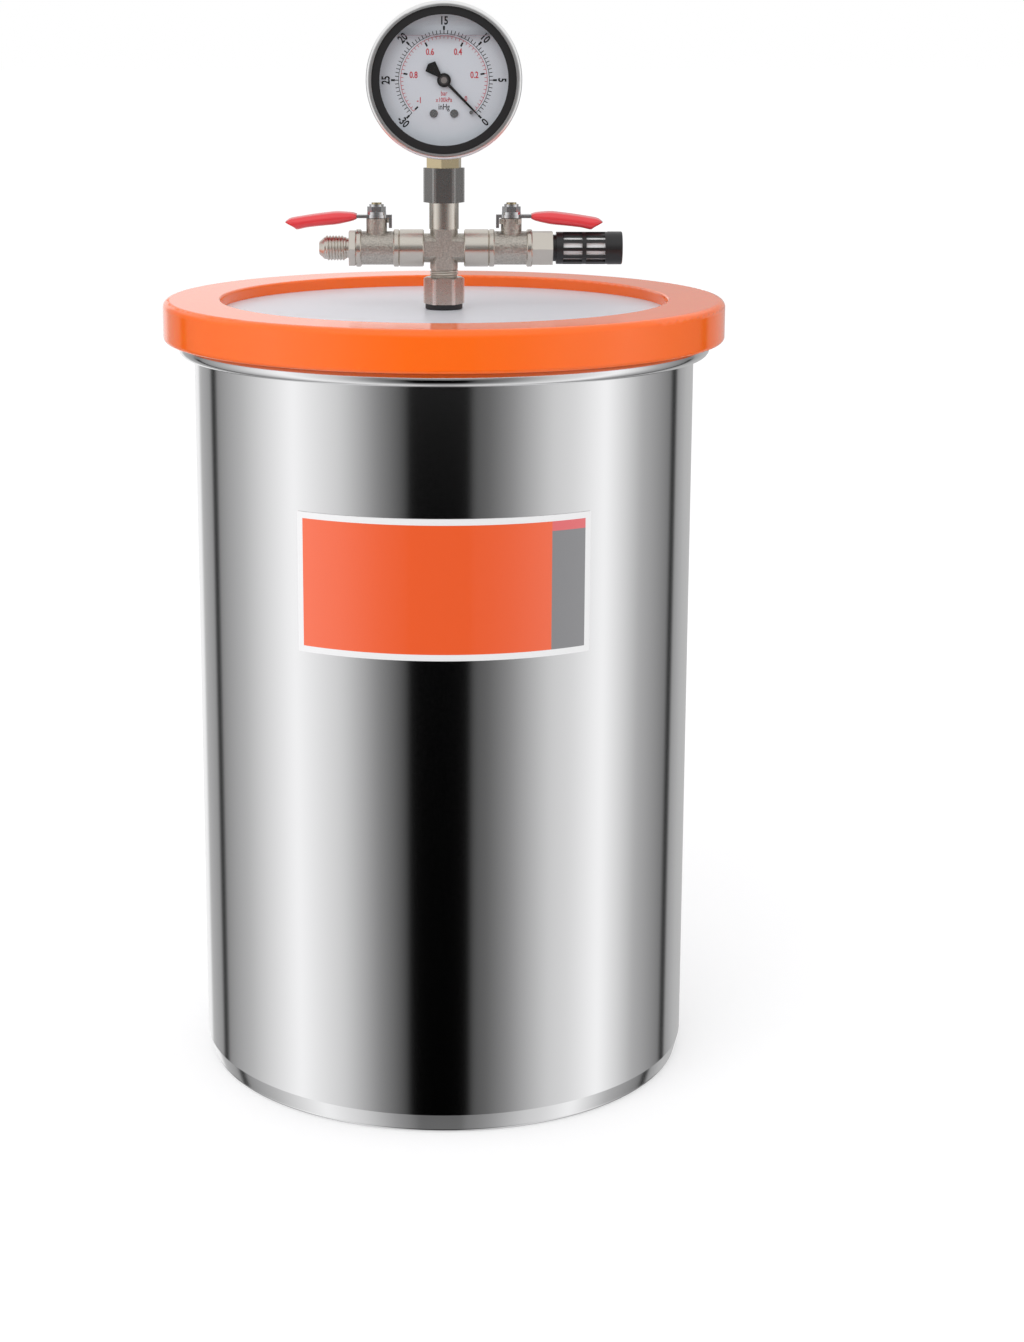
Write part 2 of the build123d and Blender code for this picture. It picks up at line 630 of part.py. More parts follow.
with BuildPart() as pointer:
    with BuildSketch(gauge_plane(POINTER_DEPTH)):
        Circle(POINTER_HUB_RADIUS)
        with BuildLine(Plane.XY.rotated((0, 0, POINTER_ZERO_ANGLE))):
            Polyline(
                (0, -POINTER_ROOT),
                (POINTER_LENGTH - POINTER_TIP, -POINTER_WAIST),
                (POINTER_LENGTH, -POINTER_POINT),
                (POINTER_LENGTH, POINTER_POINT),
                (POINTER_LENGTH - POINTER_TIP, POINTER_WAIST),
                (0, POINTER_ROOT),
                (0, -POINTER_ROOT),
            )
        make_face()
        with BuildLine(Plane.XY.rotated((0, 0, POINTER_ZERO_ANGLE))):
            Polyline(
                (0, -TAIL_NECK),
                (-POINTER_HUB_RADIUS, -TAIL_NECK),
                (TAIL_ROUND - POINTER_TAIL, -TAIL_FAN / 2),
                (-POINTER_TAIL, 0),
                (TAIL_ROUND - POINTER_TAIL, TAIL_FAN / 2),
                (-POINTER_HUB_RADIUS, TAIL_NECK),
                (0, TAIL_NECK),
                (0, -TAIL_NECK),
            )
        make_face()
    extrude(amount=POINTER_THICK)
    with BuildSketch(gauge_plane(POINTER_DEPTH - POINTER_THICK)):
        Circle(HUB_CAP_RADIUS)
    extrude(amount=HUB_CAP)
    with BuildSketch(gauge_plane(POINTER_DEPTH - POINTER_THICK)):
        Circle(ARBOR_RADIUS)
    extrude(amount=POINTER_DEPTH - POINTER_THICK - ARBOR_END)
keep(pointer.part, "pointer")

with BuildPart() as gauge_movement:
    for plate_y in (PLATE_FRONT_Y, SOCKET_BLOCK_DEPTH / 2):
        with BuildSketch(Plane.XZ.offset(-plate_y)):
            with Locations((0, GAUGE_Z + (PLATE_RISE - PLATE_DROP) / 2)):
                Rectangle(SOCKET_BLOCK_WIDTH, PLATE_RISE + PLATE_DROP)
        extrude(amount=-PLATE_THICK)
    with BuildSketch(Plane.XZ.offset(SOCKET_BLOCK_DEPTH / 2)):
        pillar_z = GAUGE_Z + PILLAR_RISE
        with Locations((-PILLAR_ACROSS, pillar_z), (PILLAR_ACROSS, pillar_z)):
            Circle(PILLAR_RADIUS)
    extrude(amount=-SOCKET_BLOCK_DEPTH)
    with BuildSketch(Plane.XZ.offset(-PLATE_FRONT_Y)):
        pad_z = GAUGE_Z - DIAL_SCREW_DROP
        with Locations((-DIAL_SCREW_ACROSS, pad_z), (DIAL_SCREW_ACROSS, pad_z)):
            Circle(DIAL_PAD_RADIUS)
    extrude(amount=PLATE_FRONT_Y - DIAL_BACK_Y)
    with BuildSketch(Plane.XZ.offset(-PLATE_FRONT_Y)):
        with Locations((0, GAUGE_Z)):
            Circle(ARBOR_RADIUS + ARBOR_GAP)
    extrude(amount=2 * PLATE_FRONT_Y, mode=Mode.SUBTRACT)
keep(gauge_movement.part, "gauge_movement")

with BuildPart() as bourdon_tube:
    with BuildSketch(tube_plane(TUBE_START)):
        with Locations((TUBE_RADIUS, 0)):
            RectangleRounded(TUBE_THIN, TUBE_WIDE, TUBE_THIN / 2 - 0.05)
    revolve(axis=GAUGE_AXIS, revolution_arc=-TUBE_ARC)
keep(bourdon_tube.part, "bourdon_tube")

# ---------------------------------------------------------------- ball valve, about its own stem
CAVITY_END = SEAT_FACE + SEAT_THICK
CAVITY_RADIUS = BALL_RADIUS + CAVITY_GAP
CROSS_END = CROSS_SIDE - VALVE_OFFSET
SEAT_CURVE = BALL_RADIUS + BALL_GAP
SEAT_GRIP_R = sqrt(SEAT_CURVE**2 - SEAT_FACE**2)
SEAT_BORE_X = sqrt(SEAT_CURVE**2 - BALL_PASSAGE**2)
STEM_TOP = VALVE_NECK_TOP + LEVER_GAP + LEVER_THICK + NUT_HEIGHT + 0.8
STEM_COLLAR_Z = BALL_RADIUS + 0.3
NECK_BORE_Z = STEM_COLLAR_Z + STEM_COLLAR + 0.2
LEVER_Z = VALVE_NECK_TOP + LEVER_GAP
NUT_Z = LEVER_Z + LEVER_THICK
VALVE_SIDES = {
    "left": Location((-VALVE_OFFSET, 0, PIPE_Z), (0, 0, 180)),
    "right": Location((VALVE_OFFSET, 0, PIPE_Z)),
}


def keep_both(piece, label):
    """Place a valve piece on both sides of the cross and write each one."""
    for side, place in VALVE_SIDES.items():
        keep(piece.moved(place), side + "_" + label)


with BuildPart() as valve_body:
    with BuildSketch(side_plane(CROSS_END - THREAD_LENGTH, 0)):
        Circle(THREAD_RADIUS)
    extrude(amount=THREAD_LENGTH)
    with BuildSketch(side_plane(CROSS_END, 0)):
        Circle(VALVE_BARREL_RADIUS)
    extrude(amount=VALVE_FREE_END - CROSS_END)
    for start in (CROSS_END, VALVE_FREE_END - VALVE_FLANGE):
        with BuildSketch(side_plane(start, 0)):
            Circle(VALVE_FLANGE_RADIUS)
        extrude(amount=VALVE_FLANGE)
    flange_rims = valve_body.edges().filter_by(GeomType.CIRCLE).filter_by(
        lambda e: abs(e.radius - VALVE_FLANGE_RADIUS) < 0.01
    )
    chamfer(flange_rims, 0.5)
    with BuildSketch(Plane.XY):
        Circle(VALVE_NECK_RADIUS)
    extrude(amount=VALVE_NECK_TOP)
    with BuildSketch(Plane.XY.offset(VALVE_NECK_TOP)):
        stop_centre = VALVE_NECK_RADIUS + STOP_REACH / 2 - STOP_ROOT / 2
        with PolarLocations(stop_centre, 2, start_angle=STOP_ANGLE, angular_range=STOP_SPREAD):
            Rectangle(STOP_REACH + STOP_ROOT, STOP_WIDTH)
    extrude(amount=-TAB_DROP / 2)
    with BuildSketch(side_plane(CROSS_END - THREAD_LENGTH, 0)):
        Circle(BALL_PASSAGE)
    extrude(amount=THREAD_LENGTH + VALVE_FREE_END - CROSS_END, mode=Mode.SUBTRACT)
    with BuildSketch(side_plane(-CAVITY_END, 0)):
        Circle(CAVITY_RADIUS)
    extrude(amount=2 * CAVITY_END + RETAINER_THICK, mode=Mode.SUBTRACT)
    with BuildSketch(side_plane(CAVITY_END + RETAINER_THICK, 0)):
        Circle(SOCKET_RADIUS)
    extrude(amount=VALVE_FREE_END - CAVITY_END - RETAINER_THICK, mode=Mode.SUBTRACT)
    with BuildSketch(Plane.XY):
        Circle(STEM_COLLAR_RADIUS + STEM_GAP)
    extrude(amount=NECK_BORE_Z + PACKING_HEIGHT, mode=Mode.SUBTRACT)
    with BuildSketch(Plane.XY):
        Circle(STEM_RADIUS + STEM_GAP)
    extrude(amount=VALVE_NECK_TOP, mode=Mode.SUBTRACT)
keep_both(valve_body.part, "valve_body")

with BuildPart() as valve_retainer:
    with BuildSketch(side_plane(CAVITY_END, 0)):
        Circle(CAVITY_RADIUS - STEM_GAP)
        Circle(BALL_PASSAGE, mode=Mode.SUBTRACT)
    extrude(amount=RETAINER_THICK)
    with BuildSketch(side_plane(CAVITY_END + RETAINER_THICK, 0)):
        Rectangle(2 * CAVITY_RADIUS, 1.2)
    extrude(amount=-RETAINER_THICK / 2, mode=Mode.SUBTRACT)
keep_both(valve_retainer.part, "valve_retainer")

with BuildPart() as valve_seats:
    with BuildSketch(Plane.XZ) as seat_section:
        with BuildLine():
            grip_arc = RadiusArc((SEAT_FACE, SEAT_GRIP_R), (SEAT_BORE_X, BALL_PASSAGE), SEAT_CURVE)
            Polyline(
                grip_arc @ 1,
                (CAVITY_END, BALL_PASSAGE),
                (CAVITY_END, CAVITY_RADIUS - STEM_GAP),
                (SEAT_FACE, CAVITY_RADIUS - STEM_GAP),
                grip_arc @ 0,
            )
        make_face()
        mirror(about=Plane.YZ)
    revolve(axis=Axis.X)
keep_both(valve_seats.part, "valve_seats")

with BuildPart() as valve_ball:
    Sphere(BALL_RADIUS)
    with BuildSketch(side_plane(-BALL_RADIUS, 0)):
        Circle(BALL_PASSAGE)
    extrude(amount=2 * BALL_RADIUS, mode=Mode.SUBTRACT)
    with BuildSketch(Plane.XY.offset(BALL_RADIUS)):
        Rectangle(2 * BALL_RADIUS, TANG_WIDTH + 2 * TANG_GAP)
    extrude(amount=-TANG_DEPTH, mode=Mode.SUBTRACT)
keep_both(valve_ball.part, "valve_ball")

with BuildPart() as valve_stem:
    with BuildSketch(Plane.XY.offset(BALL_RADIUS - TANG_DEPTH + TANG_GAP)):
        Circle(STEM_COLLAR_RADIUS)
        Rectangle(2 * STEM_COLLAR_RADIUS, TANG_WIDTH, mode=Mode.INTERSECT)
    extrude(amount=STEM_COLLAR_Z - BALL_RADIUS + TANG_DEPTH - TANG_GAP)
    with BuildSketch(Plane.XY.offset(STEM_COLLAR_Z)):
        Circle(STEM_COLLAR_RADIUS)
    extrude(amount=STEM_COLLAR)
    with BuildSketch(Plane.XY.offset(STEM_COLLAR_Z)):
        Circle(STEM_RADIUS)
    extrude(amount=STEM_TOP - STEM_COLLAR_Z)
    with BuildSketch(Plane.XY.offset(LEVER_Z - 0.1)):
        Circle(STEM_RADIUS + 1)
        Rectangle(2 * STEM_RADIUS + 1, STEM_SQUARE, mode=Mode.SUBTRACT)
    extrude(amount=LEVER_THICK + 0.1, mode=Mode.SUBTRACT)
keep_both(valve_stem.part, "valve_stem")

with BuildPart() as valve_packing:
    with BuildSketch(Plane.XY.offset(NECK_BORE_Z)):
        Circle(STEM_COLLAR_RADIUS)
        Circle(STEM_RADIUS + STEM_GAP, mode=Mode.SUBTRACT)
    extrude(amount=PACKING_HEIGHT)
keep_both(valve_packing.part, "valve_packing")

with BuildPart() as valve_lever:
    with BuildSketch(Plane.XY.offset(LEVER_Z)):
        Circle(LEVER_EYE_RADIUS)
        with Locations((GRIP_START / 2, 0)):
            Rectangle(GRIP_START, LEVER_WIDTH)
        with Locations((-TAB_REACH / 2, 0)):
            Rectangle(TAB_REACH, TAB_WIDTH)
    extrude(amount=LEVER_THICK)
    with BuildSketch(Plane.XY.offset(LEVER_Z)):
        with Locations((-TAB_REACH + LEVER_THICK / 2, 0)):
            Rectangle(LEVER_THICK, TAB_WIDTH)
    extrude(amount=-TAB_DROP)
    with BuildSketch(Plane.XZ.offset(-LEVER_WIDTH / 2)):
        with BuildLine():
            Polyline(
                (GRIP_START, LEVER_Z),
                (GRIP_START, LEVER_Z + LEVER_THICK),
                (GRIP_END - 2 * GRIP_WALL, LEVER_Z + LEVER_THICK - LEVER_DROP),
                (GRIP_END - 2 * GRIP_WALL, LEVER_Z - LEVER_DROP),
                (GRIP_START, LEVER_Z),
            )
        make_face()
    extrude(amount=LEVER_WIDTH)
    with BuildSketch(Plane.XY.offset(LEVER_Z)):
        Circle(STEM_RADIUS + STEM_GAP)
        Rectangle(2 * STEM_RADIUS + 1, STEM_SQUARE + 2 * STEM_GAP, mode=Mode.INTERSECT)
    extrude(amount=LEVER_THICK, mode=Mode.SUBTRACT)
keep_both(valve_lever.part, "valve_lever")

GRIP_RUN = GRIP_END - 2 * GRIP_WALL - GRIP_START
GRIP_THICK = LEVER_THICK + 2 * GRIP_WALL
GRIP_SLOPE = Plane(
    origin=(GRIP_START, 0, LEVER_Z + LEVER_THICK / 2),
    x_dir=(0, 1, 0),
    z_dir=(GRIP_RUN, 0, -LEVER_DROP),
)
with BuildPart() as lever_grip:
    with BuildSketch(GRIP_SLOPE):
        RectangleRounded(GRIP_WIDTH, GRIP_THICK, GRIP_ROUND)
    extrude(amount=GRIP_END - GRIP_START)
    with BuildSketch(Plane.XY.offset(LEVER_Z - 3 * LEVER_DROP)):
        with BuildLine():
            Polyline(
                (GRIP_START - GRIP_MOUTH, -GRIP_WIDTH / 2 + GRIP_TAPER),
                (GRIP_START + GRIP_TAPER_RUN, -GRIP_WIDTH / 2),
                (GRIP_END - GRIP_TAPER_RUN, -GRIP_WIDTH / 2),
                (GRIP_END, -GRIP_WIDTH / 2 + GRIP_CORNER),
                (GRIP_END, GRIP_WIDTH / 2 - GRIP_CORNER),
                (GRIP_END - GRIP_TAPER_RUN, GRIP_WIDTH / 2),
                (GRIP_START + GRIP_TAPER_RUN, GRIP_WIDTH / 2),
                (GRIP_START - GRIP_MOUTH, GRIP_WIDTH / 2 - GRIP_TAPER),
                (GRIP_START - GRIP_MOUTH, -GRIP_WIDTH / 2 + GRIP_TAPER),
            )
        make_face()
    extrude(amount=6 * LEVER_DROP, mode=Mode.INTERSECT)
    with BuildSketch(Plane.XZ.offset(-LEVER_WIDTH / 2)):
        with BuildLine():
            Polyline(
                (GRIP_START - GRIP_MOUTH, LEVER_Z),
                (GRIP_START - GRIP_MOUTH, LEVER_Z + LEVER_THICK),
                (GRIP_START, LEVER_Z + LEVER_THICK),
                (GRIP_START + GRIP_RUN, LEVER_Z + LEVER_THICK - LEVER_DROP),
                (GRIP_START + GRIP_RUN, LEVER_Z - LEVER_DROP),
                (GRIP_START, LEVER_Z),
                (GRIP_START - GRIP_MOUTH, LEVER_Z),
            )
        make_face()
    extrude(amount=LEVER_WIDTH, mode=Mode.SUBTRACT)
keep_both(lever_grip.part, "lever_grip")

with BuildPart() as stem_nut:
    with BuildSketch(Plane.XY.offset(NUT_Z)):
        Circle(NUT_FLANGE_RADIUS)
    extrude(amount=NUT_FLANGE)
    with BuildSketch(Plane.XY.offset(NUT_Z)):
        RegularPolygon(across_flats(NUT_HEX), 6)
    extrude(amount=NUT_HEIGHT - 1.2)
    with BuildSketch(Plane.XY.offset(NUT_Z)):
        Circle(NUT_HEX / 2 - 0.4)
    extrude(amount=NUT_HEIGHT)
    with BuildSketch(Plane.XY.offset(NUT_Z)):
        Circle(STEM_RADIUS + STEM_GAP)
    extrude(amount=NUT_HEIGHT, mode=Mode.SUBTRACT)
keep_both(stem_nut.part, "stem_nut")

# ---------------------------------------------------------------- flare nipple, on the left
NIPPLE_X = -VALVE_OFFSET - VALVE_FREE_END
SHORT_THREAD = VALVE_FREE_END - CAVITY_END - RETAINER_THICK - 0.2
with BuildPart() as flare_nipple:
    with BuildSketch(side_plane(NIPPLE_X, PIPE_Z)):
        Circle(THREAD_RADIUS)
    extrude(amount=SHORT_THREAD)
    with BuildSketch(side_plane(NIPPLE_X, PIPE_Z)):
        RegularPolygon(across_flats(NIPPLE_HEX), 6, rotation=0)
    extrude(amount=-NIPPLE_HEX_LENGTH)
    with BuildSketch(side_plane(NIPPLE_X - NIPPLE_HEX_LENGTH, PIPE_Z)):
        Circle(FLARE_THREAD_RADIUS)
    extrude(amount=-FLARE_THREAD_LENGTH)
    nose_x = NIPPLE_X - NIPPLE_HEX_LENGTH - FLARE_THREAD_LENGTH
    with BuildSketch(Plane.XZ):
        with BuildLine():
            cone = FLARE_NOSE_RADIUS - FLARE_TIP_RADIUS
            Polyline(
                (nose_x, PIPE_Z),
                (nose_x, PIPE_Z + FLARE_NOSE_RADIUS),
                (nose_x - FLARE_NOSE_LENGTH + cone, PIPE_Z + FLARE_NOSE_RADIUS),
                (nose_x - FLARE_NOSE_LENGTH, PIPE_Z + FLARE_TIP_RADIUS),
                (nose_x - FLARE_NOSE_LENGTH, PIPE_Z),
                (nose_x, PIPE_Z),
            )
        make_face()
    revolve(axis=Axis((0, 0, PIPE_Z), (1, 0, 0)))
    with BuildSketch(side_plane(nose_x - FLARE_NOSE_LENGTH, PIPE_Z)):
        Circle(BALL_PASSAGE)
    extrude(amount=2 * VALVE_OFFSET, mode=Mode.SUBTRACT)
keep(flare_nipple.part, "flare_nipple")

# ---------------------------------------------------------------- silencer, on the right
ADAPTER_X = VALVE_OFFSET + VALVE_FREE_END
NECK_X = ADAPTER_X + ADAPTER_LENGTH
BARREL_X = NECK_X + SILENCER_NECK
CAP_X = BARREL_X + SILENCER_BARREL
FELT_RADIUS = SILENCER_RADIUS - SILENCER_WALL - FELT_GAP

with BuildPart() as silencer_adapter:
    with BuildSketch(side_plane(ADAPTER_X, PIPE_Z)):
        Circle(THREAD_RADIUS)
    extrude(amount=-SHORT_THREAD)
    with BuildSketch(side_plane(ADAPTER_X, PIPE_Z)):
        RegularPolygon(across_flats(ADAPTER_HEX), 6)
    extrude(amount=ADAPTER_LENGTH)
    with BuildSketch(side_plane(ADAPTER_X - SHORT_THREAD, PIPE_Z)):
        Circle(BALL_PASSAGE)
    extrude(amount=ADAPTER_LENGTH + SHORT_THREAD, mode=Mode.SUBTRACT)
    with BuildSketch(side_plane(NECK_X, PIPE_Z)):
        Circle(SILENCER_THREAD_RADIUS + THREAD_GAP)
    extrude(amount=-SILENCER_THREAD - SOCKET_RELIEF, mode=Mode.SUBTRACT)
keep(silencer_adapter.part, "silencer_adapter")

with BuildPart() as silencer_body:
    with BuildSketch(side_plane(NECK_X - SILENCER_THREAD, PIPE_Z)):
        Circle(SILENCER_THREAD_RADIUS)
    extrude(amount=SILENCER_THREAD)
    with BuildSketch(side_plane(NECK_X, PIPE_Z)):
        Circle(SILENCER_NECK_RADIUS)
    extrude(amount=SILENCER_NECK)
    with BuildSketch(side_plane(BARREL_X, PIPE_Z)):
        Circle(SILENCER_RADIUS)
    extrude(amount=SILENCER_BARREL)
    with BuildSketch(side_plane(BARREL_X + SILENCER_WALL, PIPE_Z)):
        Circle(SILENCER_RADIUS - SILENCER_WALL)
    extrude(amount=SILENCER_BARREL - SILENCER_WALL, mode=Mode.SUBTRACT)
    with BuildSketch(side_plane(NECK_X - SILENCER_THREAD, PIPE_Z)):
        Circle(BALL_PASSAGE)
    extrude(amount=SILENCER_THREAD + SILENCER_NECK + SILENCER_WALL, mode=Mode.SUBTRACT)
    for column in range(SLOT_COLUMNS):
        slot_x = BARREL_X + SLOT_START + column * (SLOT_LENGTH + SLOT_RIB)
        for row in range(SLOT_ROWS // 2):
            turn = 360 / SLOT_ROWS * (row + 0.5)
            slot_y = (0, cos(radians(turn)), sin(radians(turn)))
            slot_centre = (slot_x + SLOT_LENGTH / 2, 0, PIPE_Z)
            with BuildSketch(Plane(origin=slot_centre, x_dir=(1, 0, 0), z_dir=slot_y)):
                Rectangle(SLOT_LENGTH, SLOT_WIDTH)
            extrude(amount=SILENCER_RADIUS + 1, both=True, mode=Mode.SUBTRACT)
keep(silencer_body.part, "silencer_body")

with BuildPart() as silencer_felt:
    with BuildSketch(side_plane(BARREL_X + SILENCER_WALL, PIPE_Z)):
        Circle(FELT_RADIUS)
        Circle(FELT_RADIUS - FELT_WALL, mode=Mode.SUBTRACT)
    extrude(amount=SILENCER_BARREL - SILENCER_WALL)
keep(silencer_felt.part, "silencer_felt")

with BuildPart() as silencer_cap:
    with BuildSketch(side_plane(CAP_X, PIPE_Z)):
        Circle(SILENCER_RADIUS + 0.15)
    extrude(amount=SILENCER_CAP)
    fillet(silencer_cap.edges().filter_by(GeomType.CIRCLE).sort_by(Axis.X)[-1], 0.6)
keep(silencer_cap.part, "silencer_cap")
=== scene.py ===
"""Looks of the vacuum chamber: finishes, dial print, threads, grips, stage, lights and camera."""

import logging
import math
from collections.abc import Sequence
from dataclasses import dataclass
from enum import Enum

import bmesh
import bpy
from mathutils import Matrix, Vector

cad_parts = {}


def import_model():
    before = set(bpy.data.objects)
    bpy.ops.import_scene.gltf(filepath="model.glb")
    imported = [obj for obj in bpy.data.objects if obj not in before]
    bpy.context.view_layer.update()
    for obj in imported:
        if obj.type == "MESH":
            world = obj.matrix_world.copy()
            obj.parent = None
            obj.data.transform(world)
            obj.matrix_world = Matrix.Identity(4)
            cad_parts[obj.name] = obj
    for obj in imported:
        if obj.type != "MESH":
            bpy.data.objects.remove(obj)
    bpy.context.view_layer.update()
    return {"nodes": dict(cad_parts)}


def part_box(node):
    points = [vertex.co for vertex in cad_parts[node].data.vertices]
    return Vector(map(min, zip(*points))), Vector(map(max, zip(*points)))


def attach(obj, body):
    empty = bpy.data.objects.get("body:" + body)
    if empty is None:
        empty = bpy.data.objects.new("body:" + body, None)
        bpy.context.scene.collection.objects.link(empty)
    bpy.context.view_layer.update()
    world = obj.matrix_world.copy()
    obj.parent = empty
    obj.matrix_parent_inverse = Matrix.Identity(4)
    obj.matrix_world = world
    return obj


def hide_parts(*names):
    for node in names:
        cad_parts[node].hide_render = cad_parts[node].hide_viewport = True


LOG = logging.getLogger("vacuum_chamber")
MM = 0.001
SIDES = ("left", "right")
# Sets a flat shape upright.
STAND = Matrix.Rotation(math.radians(90), 4, "X")
# A slant direction to sort points along.
ORDER = Vector((1.0, 0.37, 0.0713))

Colour = tuple[float, float, float]
Shape = bmesh.types.BMesh
Socket = bpy.types.NodeSocket
Value = Socket | float | Sequence[float]
Inputs = dict[str | int, Value]
WHITE: Colour = (1.0, 1.0, 1.0)


def tone(red: int, green: int, blue: int) -> Colour:
    """Turns a display colour into the linear colour that a shader takes.

    Args:
        red: Red, 0 to 255.
        green: Green, 0 to 255.
        blue: Blue, 0 to 255.

    Returns:
        The linear colour.
    """

    def linear(value: int) -> float:
        """Returns one channel's linear value."""
        share = value / 255
        return share / 12.92 if share <= 0.04045 else ((share + 0.055) / 1.055) ** 2.4

    return linear(red), linear(green), linear(blue)


def beyond(share: float, start: float) -> float:
    """Returns how far a share has gone from a start towards 1, 0 before the start."""
    return max(0.0, (share - start) / (1 - start))


# --- node helpers
class Graph:
    """A material's or world's node tree, with short calls for the nodes used here."""

    NOISE_DETAIL = 3.0

    def __init__(self, tree: bpy.types.NodeTree) -> None:
        """Takes a node tree and empties it."""
        self.tree = tree
        tree.nodes.clear()

    def node(self, kind: str, inputs: Inputs | None = None, **settings: object) -> bpy.types.Node:
        """Adds a node.

        Args:
            kind: Its type, without ShaderNode in front.
            inputs: What goes into its inputs.
            **settings: Attributes to set on the node first.

        Returns:
            The new node.
        """
        made = self.tree.nodes.new("ShaderNode" + kind)
        for name, value in settings.items():
            setattr(made, name, value)
        for name, value in (inputs or {}).items():
            self.feed(made.inputs[name], value)
        return made

    def feed(self, socket: Socket, value: Value) -> None:
        """Links an input, or sets its value.

        Args:
            socket: The input to fill.
            value: An output to link, or a number or a colour to set.
        """
        if isinstance(value, bpy.types.NodeSocket):
            self.tree.links.new(value, socket)
        elif isinstance(value, (int, float)):
            socket.default_value = value
        else:
            socket.default_value = (*value, 1.0)[: len(socket.default_value)]

    def math(self, operation: str, *values: Socket | float, clamp: bool = False) -> Socket:
        """Adds a Math node, its result held between 0 and 1 by clamp, and returns its output."""
        made = self.node("Math", dict(enumerate(values)), operation=operation, use_clamp=clamp)
        return made.outputs[0]

    def xyz(self, kind: str = "Object") -> tuple[Socket, Socket, Socket]:
        """Returns the x, y and z of a texture coordinate."""
        x, y, z = self.node("SeparateXYZ", {0: self.node("TexCoord").outputs[kind]}).outputs
        return x, y, z

    def noise(self, scale: float) -> Socket:
        """Adds noise on Object coordinates.

        Args:
            scale: Blobs per metre.

        Returns:
            The noise as a number near 0.5.
        """
        place = self.node("TexCoord").outputs["Object"]
        made = self.node("TexNoise", {"Vector": place, "Scale": scale, "Detail": self.NOISE_DETAIL})
        return made.outputs["Fac"]

    def spread(self, value: Socket, low: float, high: float) -> Socket:
        """Returns a number of 0 to 1 mapped to a range."""
        return self.node("MapRange", {"Value": value, "To Min": low, "To Max": high}).outputs[0]

    def step(self, value: Socket, low: float, high: float) -> Socket:
        """Returns a soft step, 0 up to low and 1 from high."""
        inputs = {"Value": value, "From Min": low, "From Max": high}
        return self.node("MapRange", inputs, interpolation_type="SMOOTHSTEP").outputs[0]

    def mix(self, share: Socket, first: Socket | Colour, second: Socket | Colour) -> Socket:
        """Returns a mix of two colours, by the share of the second."""
        return self.node("Mix", {0: share, 6: first, 7: second}, data_type="RGBA").outputs[2]

    def bump(self, height: Socket, depth: float, strength: Socket | float = 1.0) -> Socket:
        """Returns the normal of a height whose 1 is depth metres high."""
        return self.node("Bump", {"Strength": strength, "Distance": depth, "Height": height}).outputs[0]

    def radius(self, first: Socket, second: Socket) -> Socket:
        """Returns the distance from an axis, given the two offsets from it."""
        squares = [self.math("MULTIPLY", offset, offset) for offset in (first, second)]
        return self.math("SQRT", self.math("ADD", *squares))

    def band(self, value: Socket, low: float, high: float) -> Socket:
        """Returns 1 where low < value < high, else 0."""
        ends = self.math("GREATER_THAN", value, low), self.math("LESS_THAN", value, high)
        return self.math("MULTIPLY", *ends)


# --- kinds of finish
@dataclass(frozen=True)
class Finish:
    """A surface finish, from a plain colour to one with grain and relief.

    Attributes:
        name: Name of the material.
        colour: Linear base colour.
        metallic: 1 for bare metal.
        rough_low: Roughness where the surface is smoothest.
        rough_high: Roughness where it is dullest.
        grain: Blobs per metre of the noise behind roughness, relief and mottle.
        grain_depth: Height of the relief in metres.
        mottle: How far the colour varies, 0 for none.
        sockets: Further values for the shader.
    """

    name: str
    colour: Colour
    metallic: float = 0.0
    rough_low: float = 0.4
    rough_high: float = 0.5
    grain: float = 400.0
    grain_depth: float = 0.0
    mottle: float = 0.0
    sockets: tuple[tuple[str, float], ...] = ()

    def metal(self, graph: Graph) -> Value:
        """Returns how metallic the surface is."""
        return self.metallic

    def rough(self, graph: Graph, noise: Socket) -> Value:
        """Returns the roughness, which follows the grain."""
        return graph.spread(noise, self.rough_low, self.rough_high)

    def spots(self) -> Colour:
        """Returns the colour where the mottle is darkest."""
        red, green, blue = (channel * (1 - self.mottle) for channel in self.colour)
        return red, green, blue

    def paint(self, graph: Graph, noise: Socket) -> Value:
        """Returns the colour, mottled by the grain where the finish has mottle."""
        return graph.mix(noise, self.spots(), self.colour) if self.mottle else self.colour

    def relief(self, graph: Graph, noise: Socket) -> Socket | None:
        """Returns the normal where the grain stands out, else None."""
        return graph.bump(noise, self.grain_depth) if self.grain_depth else None

    def shade(self, graph: Graph) -> None:
        """Builds the shader and the output.

        Args:
            graph: The material's node tree.
        """
        noise = graph.noise(self.grain)
        inputs: Inputs = {
            "Metallic": self.metal(graph),
            "Roughness": self.rough(graph, noise),
            "Base Color": self.paint(graph, noise),
            **dict(self.sockets),
        }
        normal = self.relief(graph, noise)
        if normal is not None:
            inputs["Normal"] = normal
        shader = graph.node("BsdfPrincipled", inputs)
        graph.node("OutputMaterial", {"Surface": shader.outputs[0]})

    def material(self) -> bpy.types.Material:
        """Makes the finish's material on the first call.

        Returns:
            The material.
        """
        found = bpy.data.materials.get(self.name)
        if found:
            return found
        made = bpy.data.materials.new(self.name)
        made.use_nodes = True
        made.diffuse_color = (*self.colour, 1.0)
        self.shade(Graph(made.node_tree))
        return made


